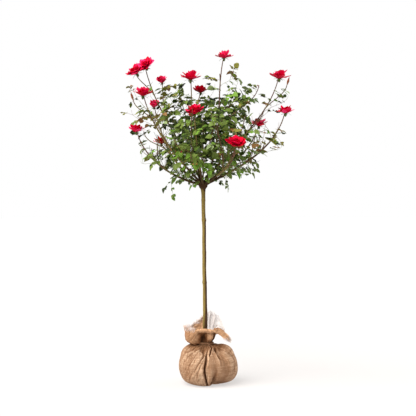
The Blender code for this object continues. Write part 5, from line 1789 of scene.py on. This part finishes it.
def sprout_leaf(mass, root, way, size, open_share=OPEN_SHARE, hanging=False):
    """Adds a leaf, or returns False where it has no room. A hanging one may be under the head."""
    facing = float(np.interp(root.z, (0.95, 1.25), LEAF_FACING))
    fullness = fullness_at(root)
    tilt = LEAF_TILT * (0.6 + 0.4 * fullness)
    face = UP + Vector((root.x, root.y, 0)).normalized() * facing
    face += Vector((dice.uniform(-tilt, tilt), dice.uniform(-tilt, tilt), 0))
    face.normalize()
    if abs(way.dot(face)) > 0.95:
        return False
    size *= OUTER_LEAF + (1 - OUTER_LEAF) * fullness
    if root.z < LOW_LEAVES:
        size *= LOW_LEAF
    middle, tip = root + way * size / 2, root + way * size
    if any((middle - other).length < LEAF_ROOM for other in leaf_middles[mass]):
        return False
    if not (hanging or in_head(tip) and in_head(middle) and in_cell(mass, tip, 0.02)):
        return False
    if dice.random() > open_share + (1 - open_share) * fullness:
        return True
    if not clear_of_limbs(mass, middle, 0.006) or any(map(hides_bloom, (root, middle, tip))):
        return False
    leaf_middles[mass].append(middle)
    leaves.append(Leaf(mass, root, way, face, size))
    return True


def dress(mass, points, start, end, size, open_share=OPEN_SHARE):
    """Leaves along a limb or twig, each where it has room."""
    turn = dice.uniform(0, math.tau)
    for distance in uneven_steps(start, end, LEAF_STEP):
        root, along = point_along(points, distance)
        for _ in range(LEAF_TRIES):
            turn += GOLDEN_ANGLE
            way = stand_off(along, turn, LEAF_STANCE)
            if sprout_leaf(mass, root, way, size * dice.uniform(*LEAF_SIZES), open_share):
                break


for name, limb in every_limb:
    end = length_of(limb.points) - (BLOOM_STALK if limb.bloom > 0 else TIP_STALK)
    share = OPEN_SHARE if limb.bloom else LEADER_SHARE
    dress(name, limb.points, FIRST_LEAF, end, LEAF_LENGTH, share)
    if not limb.bloom:
        way = stand_off(end_way(limb.points), 0, 0.2)
        sprout_leaf(name, limb.points[-1], way, LEAF_LENGTH)
for name, points in bough_ends.items():
    dress(name, points, 0, length_of(points), LEAF_LENGTH * 0.85)
for twig in hangers:
    size = LEAF_LENGTH * (1.0 if twig.mass == "left_low" else 0.6)
    for share in (0.55, 1.0):
        root, along = point_along(twig.points, length_of(twig.points) * share)
        way = stand_off(along, dice.uniform(0, 6), 0.5, 0.5)
        sprout_leaf(twig.mass, root, way, size, 1.0, True)
for twig in twigs:
    whole = length_of(twig.points)
    if not twig.bare:
        dress(twig.mass, twig.points, whole * 0.35, whole, LEAF_LENGTH * 0.92)
    size = LEAF_LENGTH * (0.75 if twig.bare else 1.0)
    way = stand_off(end_way(twig.points), twig.turn, 0.2)
    sprout_leaf(twig.mass, twig.points[-1], way, size)
for twig in leaders:
    whole = length_of(twig.points)
    share, foot = (1.0, 0.5) if twig.bare else (LEADER_SHARE, 0.35)
    dress(twig.mass, twig.points, whole * foot, whole, LEAF_LENGTH * 0.95, share)
    way = stand_off(UP, dice.uniform(0, 6), 0.5)
    sprout_leaf(twig.mass, twig.points[-1], way, LEAF_LENGTH, 1.0)


def nearest_leaf(spot):
    return min(range(len(leaves)), key=lambda index: (leaves[index].root - Vector(spot)).length)


withered = {nearest_leaf(spot) for spot in WITHERED_SPOTS}
leaf_heaps = {name: Heap() for name in TINTS}
stalks = {name: Heap() for name in STALK_COLOURS}


def pick_tint(leaf):
    if leaf.root.z < HANGING_HEIGHT:
        return "leaves_fresh"
    weights = TINTS_BY_MASS.get(leaf.mass, COMMON_TINTS)
    from_heart = (leaf.root + leaf.way * leaf.length / 2 - HEART).length
    deep = max(0.0, 1 - from_heart / HEART_RADIUS)
    # leaves nearer the heart take more of the dark tint, as painted shade
    blend = [own * (1 - deep) + heart * deep for own, heart in zip(weights, HEART_SHADE_TINTS)]
    blend[4] *= 1 - 0.6 * fullness_at(leaf.root)
    blend[5] *= 1 - fullness_at(leaf.root)
    return dice.choices(list(TINTS), blend)[0]


def in_gap(point):
    """True where the leaves part and the sky shows between them from the front."""
    if point.z < HANGING_HEIGHT:
        return False
    _, eye, eye_height = CAMERA_PLACE
    nearness = eye / (eye - point.y)
    up = eye_height + (point.z - eye_height) * nearness
    level = float(np.interp(point.z, (1.05, 1.20), GAP_LEVELS))
    return noise.noise(Vector((point.x * nearness, 0.37, up)) / GAP_WIDTH) > level


def leaflet_at(root, way, face, length):
    side = face.cross(way).normalized()
    face = way.cross(side).normalized()
    turned = np.array(Matrix((way, side, face)).transposed())
    shape, faces = dice.choice(LEAFLETS)
    return shape @ turned.T * length + np.array(root), faces


def near_tint(tint):
    """Mostly the leaf's own tint; some leaflets take a neighbour's."""
    return dice.choice(NEIGHBOUR_TINTS[tint]) if dice.random() < NEIGHBOUR_CHANCE else tint


for index, leaf in enumerate(leaves):
    tint = "leaves_withered" if index in withered else pick_tint(leaf)
    if index in withered:
        leaf = leaf._replace(length=leaf.length * 0.55)
    pairs = 3 if dice.random() < THREE_PAIRS else 2
    side = leaf.face.cross(leaf.way).normalized()
    sag = leaf.length * dice.uniform(0.04, 0.22)
    reach = leaf.way * leaf.length * STALK_SHARE
    spine = [leaf.root + reach * t - UP * sag * t * t for t in (0, 0.2, 0.4, 0.6, 0.8, 1.0)]
    new_growth = tint in ("leaves_bronze", "leaves_olive")
    red = new_growth and dice.random() < RED_STALKS
    add_tube(stalks["leafstalks_red" if red else "leafstalks_green"], spine, STALK_RADII, 4)
    blades = [(spine[-1], end_way(spine), 0.37)]
    for pair in range(pairs):
        spot, along = point_along(spine, length_of(spine) * (0.36 + 0.50 * pair / (pairs - 1)))
        for hand in (1, -1):
            splay = math.radians(dice.uniform(*LEAFLET_SPLAY))
            way = (along * math.cos(splay) + side * hand * math.sin(splay)).normalized()
            blades.append((spot + way * 0.0015, way, 0.27 + 0.07 * pair / pairs))
    for spot, way, size in blades:
        if in_gap(spot + way * leaf.length * size / 2):
            continue
        lean = jitter(dice, LEAFLET_LEAN)
        way = (way + lean * 0.8 - UP * dice.uniform(0, 0.25)).normalized()
        length = leaf.length * size * dice.uniform(0.88, 1.12)
        points, faces = leaflet_at(spot, way, (leaf.face + lean).normalized(), length)
        leaf_heaps[near_tint(tint)].add(points, faces)


def leaf_finish(name, colour):
    """A leaf's plain colour with a soft gloss, faintly veined."""
    made, shader = plain_finish(name, colour, 0.45, 0.13)
    tree = made.node_tree
    vein = grain(tree, own_place(tree), 260.0)
    tree.links.new(remap(tree, vein, 0.3, 0.7, 0.34, 0.54), shader.inputs["Roughness"])
    emboss(tree, vein, 0.0004, 0.35)
    return made


for name, heap in leaf_heaps.items():
    heap.piece(name, leaf_finish(name, TINTS[name]), "foliage", MASS_NODES, smooth=False)
for name, heap in stalks.items():
    heap.piece(name, leaf_finish(name, STALK_COLOURS[name]), "foliage", MASS_NODES)


# Blooms
# Double blooms of long pointed petals in five tiers round a small tuft of yellow stamens, each
# on a green hip with five narrow sepals. Seen from the side they are shallow and spiky.

PETAL_TIERS = (
    # count, angle off the stalk at foot and tip, length, width, cup, roll, foot radius, foot height
    (7, 62, 86, 1.04, 0.78, 0.14, 0.20, 0.07, -0.34),
    (7, 45, 67, 1.02, 0.74, 0.18, 0.18, 0.07, -0.34),
    (6, 28, 50, 0.94, 0.66, 0.22, 0.14, 0.06, -0.32),
    (5, 12, 30, 0.80, 0.46, 0.30, 0.08, 0.05, -0.30),
    (3, 2, 16, 0.62, 0.40, 0.40, 0.0, 0.03, -0.28),
)
BLOOM_SPREAD = 1.14  # petals reach past the solid's bloom by this much
FULL_BLOOM = 0.066  # diameter above which a bloom is wide open
RUFFLED = 1.25  # width of the petals where a bloom nods forward, of the others
RUFFLED_NOD = -0.3
PETAL_LENGTHS = 8
PETAL_WIDTHS = 6
PETAL_TINTS = {
    "petals_crimson": (0.58, 0.0, 0.020),
    "petals_carmine": (0.70, 0.002, 0.046),
    "petals_pink": (0.86, 0.030, 0.150),
    "petals_dark": (0.34, 0.0, 0.012),
}
PETAL_MIXES = {
    # how often each tint comes up, in their order above
    "rosy": (0.06, 0.34, 0.58, 0.02),
    "sunlit": (0.20, 0.42, 0.34, 0.04),
    "open": (0.42, 0.40, 0.10, 0.08),
    "shaded": (0.50, 0.24, 0.04, 0.22),
}
STAMENS = 22
STAMEN_RADII = (0.010, 0.012, 0.030)
STAMEN_YELLOW = (0.75, 0.42, 0.05)
HIP_RINGS = (
    # radius and height of the hip, from the stalk up, for a bloom of radius 1
    (0.045, -0.66), (0.075, -0.63), (0.125, -0.55), (0.135, -0.46), (0.115, -0.38), (0.12, -0.34),
    (0.05, -0.32),
)
SEPALS = 5
SEPAL_HEIGHT = -0.36
SEPAL_STATIONS = 7
SEPAL_WIDTH = 0.15
SEPAL_GREEN = (0.075, 0.105, 0.025)


def steps_along(parts, step):
    """Where each of a row of steps starts, of which these are the parts in one direction."""
    return np.concatenate([[0], np.cumsum(parts[:-1] * step)])


def petal_points(foot_angle, tip_angle, length, width, cup, roll, base, low, dice):
    """One petal in the plane over +X: up from the foot, then out along its curve."""
    along = np.linspace(0, 1, PETAL_LENGTHS + 1)
    curl = dice.uniform(-26, 14)
    angles = np.radians(foot_angle + (tip_angle - foot_angle) * along + curl * along**4)
    step = length / PETAL_LENGTHS
    out = base + steps_along(np.sin(angles), step)
    high = low + steps_along(np.cos(angles), step)
    wide = width / 2 * (0.16 + along**0.75) * (1 - along**2.6) ** 0.80 / 0.78
    u, v = np.meshgrid(along, np.linspace(-1, 1, PETAL_WIDTHS + 1), indexing="ij")
    wide = wide[:, None]
    lift = cup * wide * v**2 * (1 - 0.5 * u) - roll * wide * v**2 * u**2 * 1.4
    lift += 0.035 * np.sin(v * 4 + dice.uniform(0, 6)) * u * dice.uniform(0.3, 1.0)
    lift += 0.03 * np.cos(v * math.pi) * (1 - u) * 0.5
    inward = np.stack([-np.cos(angles), np.zeros_like(angles), np.sin(angles)], axis=-1)
    middle = np.stack([out, np.zeros_like(out), high], axis=-1)
    points = middle[:, None, :] + inward[:, None, :] * lift[:, :, None]
    points[:, :, 1] += wide * v
    return points.reshape(-1, 3)


PETAL_FACES = sheet_faces(PETAL_LENGTHS + 1, PETAL_WIDTHS + 1, closed=False)
petal_heaps = {name: Heap() for name in PETAL_TINTS}
stamens = Heap()
calyx = Heap()


def turned_to(nod, spin):
    return np.array(UP.rotation_difference(nod).to_matrix() @ Matrix.Rotation(spin, 3, "Z"))


def spun(points, turn):
    return points @ np.array(Matrix.Rotation(turn, 3, "Z")).T


def add_turned(heap, points, faces, turned, radius, middle):
    heap.add(np.asarray(points) @ turned.T * radius + np.array(middle), faces)


def revolved(rings, sides):
    turns = np.arange(sides) * math.tau / sides
    points = [on_circle(radius, turn, height) for radius, height in rings for turn in turns]
    return np.array(points), tube_faces(len(rings), sides)


def sepal_points(angle, tip_angle, length, width):
    """A narrow pointed sepal, in the plane over +X."""
    along = np.linspace(0, 1, SEPAL_STATIONS)
    angles = np.radians(angle + (tip_angle - angle) * along)
    step = length / (SEPAL_STATIONS - 1)
    out = 0.10 + steps_along(np.sin(angles), step)
    high = SEPAL_HEIGHT + steps_along(np.cos(angles), step)
    wide = width / 2 * (0.5 + 0.5 * np.sin(along * math.pi)) * (1 - along**2) ** 0.8
    rows = [[(o, side * w, h + (0.02 if side else 0)) for side in (-1, 0, 1)]
            for o, h, w in zip(out, high, wide)]
    return np.array(rows).reshape(-1, 3)


SEPAL_FACES = sheet_faces(SEPAL_STATIONS, 3, closed=False)


def add_bloom(middle, diameter, nod, mix, dice):
    """Petals, stamens, hip and sepals. A small bloom is less open."""
    openness = min(1.0, diameter / FULL_BLOOM)
    ruffled = RUFFLED if nod.y < RUFFLED_NOD else 1.0
    radius = diameter / 2 / openness**0.8 * BLOOM_SPREAD
    turned = turned_to(nod, dice.uniform(0, math.tau))
    for count, start, end, length, width, cup, roll, base, low in PETAL_TIERS:
        spin = dice.uniform(0, math.tau)
        for number in range(count):
            points = petal_points(
                (start + dice.uniform(-14, 9)) * openness**1.6,
                (end + dice.uniform(-20, 10)) * openness**1.6,
                length * dice.uniform(0.72, 1.10), width * ruffled * dice.uniform(0.80, 1.15),
                cup, roll * dice.uniform(0.5, 1.3), base, low, dice,
            )
            turn = spin + math.tau * number / count + dice.uniform(-0.22, 0.22)
            tint = dice.choices(list(PETAL_TINTS), PETAL_MIXES[mix])[0]
            petal = spun(points, turn)
            add_turned(petal_heaps[tint], petal, PETAL_FACES, turned, radius, middle)
    for _ in range(STAMENS):
        turn, lean = dice.uniform(0, math.tau), dice.uniform(0.02, 0.16)
        tip = Vector(on_circle(lean, turn, dice.uniform(-0.06, 0.04)))
        line = [Vector((tip.x * 0.3, tip.y * 0.3, -0.26)), tip * 0.8, tip]
        points = tube_points(line, STAMEN_RADII, 4)
        add_turned(stamens, points, tube_faces(3, 4), turned, radius, middle)
    add_turned(calyx, *revolved(HIP_RINGS, 12), turned, radius, middle)
    for number in range(SEPALS):
        bend = dice.uniform(80, 105), dice.uniform(95, 150)
        points = sepal_points(*bend, dice.uniform(0.42, 0.58), SEPAL_WIDTH)
        sepal = spun(points, math.tau * number / SEPALS + dice.uniform(-0.2, 0.2))
        add_turned(calyx, sepal, SEPAL_FACES, turned, radius, middle)


def petal_mix(middle, diameter):
    """Paler high up and on the left, where the light is, and darker among the leaves."""
    if diameter < FULL_BLOOM * 0.8:
        return "rosy"
    if fullness_at(middle) > 0.3 or middle.y > 0.1:
        return "shaded" if middle.y > 0.05 and middle.z < 1.34 else "open"
    if middle.z > 1.36 and middle.x < -0.25:
        return "rosy"
    return "sunlit" if middle.z > 1.36 or middle.x < -0.2 else "open"


dice = random.Random("blooms")
for _, limb in every_limb:
    if limb.bloom > 0:
        top = limb.points[-1]
        add_bloom(top, limb.bloom, limb.nod, petal_mix(top, limb.bloom), dice)


def petal_finish(name, colour):
    """Velvety petal skin: fine cells and hardly any gloss."""
    made, _ = plain_finish(name, colour, 0.60, 0.06)
    tree = made.node_tree
    emboss(tree, grain(tree, own_place(tree), 700.0), 0.0002, 0.3)
    return made


for name, heap in petal_heaps.items():
    heap.piece(name, petal_finish(name, PETAL_TINTS[name]), "petals", MASS_NODES)
stamens.piece("stamens", petal_finish("stamen_yellow", STAMEN_YELLOW), "petals", MASS_NODES)
calyx.piece("hips_and_sepals", leaf_finish("sepal_green", SEPAL_GREEN), "foliage", MASS_NODES)


# Buds
# Long closed buds: rolled petals showing between five sepals that clasp them, on the same hips.

BUD_RADIUS = 0.0050
BUD_LENGTH = 0.034
BUD_FOOT = 0.004
BUD_RINGS = 15
BUD_SIDES = 16
BUD_SEPAL_WIDTH = 0.0030
BUD_SEPAL_STATIONS = 9
BUD_HIP_RINGS = (
    (0.0013, -0.002), (0.0026, 0.0), (0.0034, 0.003), (0.0030, 0.0055), (0.0024, 0.006),
)
BUD_RED = (0.34, 0.035, 0.020)
BUD_SEPAL_BRONZE = (0.200, 0.075, 0.035)


def plumpness(t):
    """Radius of a bud at this share of its length, before it narrows to its tip."""
    return np.sin(math.pi * np.minimum(1.0, 0.12 + 0.88 * t)) ** 0.7


def add_bud(middle, along, dice):
    turned = turned_to(along, dice.uniform(0, math.tau))
    petals = []
    for step in range(BUD_RINGS):
        t = step / (BUD_RINGS - 1)
        plump = plumpness(t) * (1 - 0.35 * t)
        for side in range(BUD_SIDES):
            turn = math.tau * side / BUD_SIDES
            spiral = 0.10 * (((turn * 2.5 + t * 5) / math.tau) % 1)
            reach = BUD_RADIUS * (plump * (0.92 + spiral) + 0.03)
            petals.append(on_circle(reach, turn, BUD_LENGTH * 0.80 * t + BUD_FOOT))
    add_turned(bud_petals, petals, tube_faces(BUD_RINGS, BUD_SIDES), turned, 1.0, middle)
    add_turned(bud_calyx, *revolved(BUD_HIP_RINGS, 12), turned, 1.0, middle)
    for number in range(SEPALS):
        length = BUD_LENGTH * dice.uniform(0.75, 1.0)
        t = np.linspace(0, 1, BUD_SEPAL_STATIONS)
        plump = plumpness(t * length / (BUD_LENGTH * 0.80))
        out = BUD_RADIUS * 1.08 * np.clip(plump, 0.1, 1) * (1 - 0.35 * t)
        out += 0.0004 + 0.0020 * t**3 * dice.uniform(0, 1.5)
        wide = BUD_SEPAL_WIDTH * (1 - t**1.4) ** 0.8 + 0.0002
        sepal = np.array([
            on_circle(o, side * w / max(o, 0.001), BUD_FOOT + length * here)
            for o, w, here in zip(out, wide, t) for side in (-1, 0, 1)
        ])
        sepal = spun(sepal, math.tau * number / SEPALS)
        add_turned(bud_calyx, sepal, BUD_SEPAL_FACES, turned, 1.0, middle)


BUD_SEPAL_FACES = sheet_faces(BUD_SEPAL_STATIONS, 3, closed=False)
bud_petals = Heap()
bud_calyx = Heap()
dice = random.Random("buds")
for _, limb in every_limb:
    if limb.bloom == BUD:
        add_bud(limb.points[-1], end_way(limb.points), dice)
bud_petals.piece("bud_petals", petal_finish("bud_red", BUD_RED), "petals", MASS_NODES)
bud_sepals = leaf_finish("sepal_bronze", BUD_SEPAL_BRONZE)
bud_calyx.piece("bud_sepals", bud_sepals, "foliage", MASS_NODES)
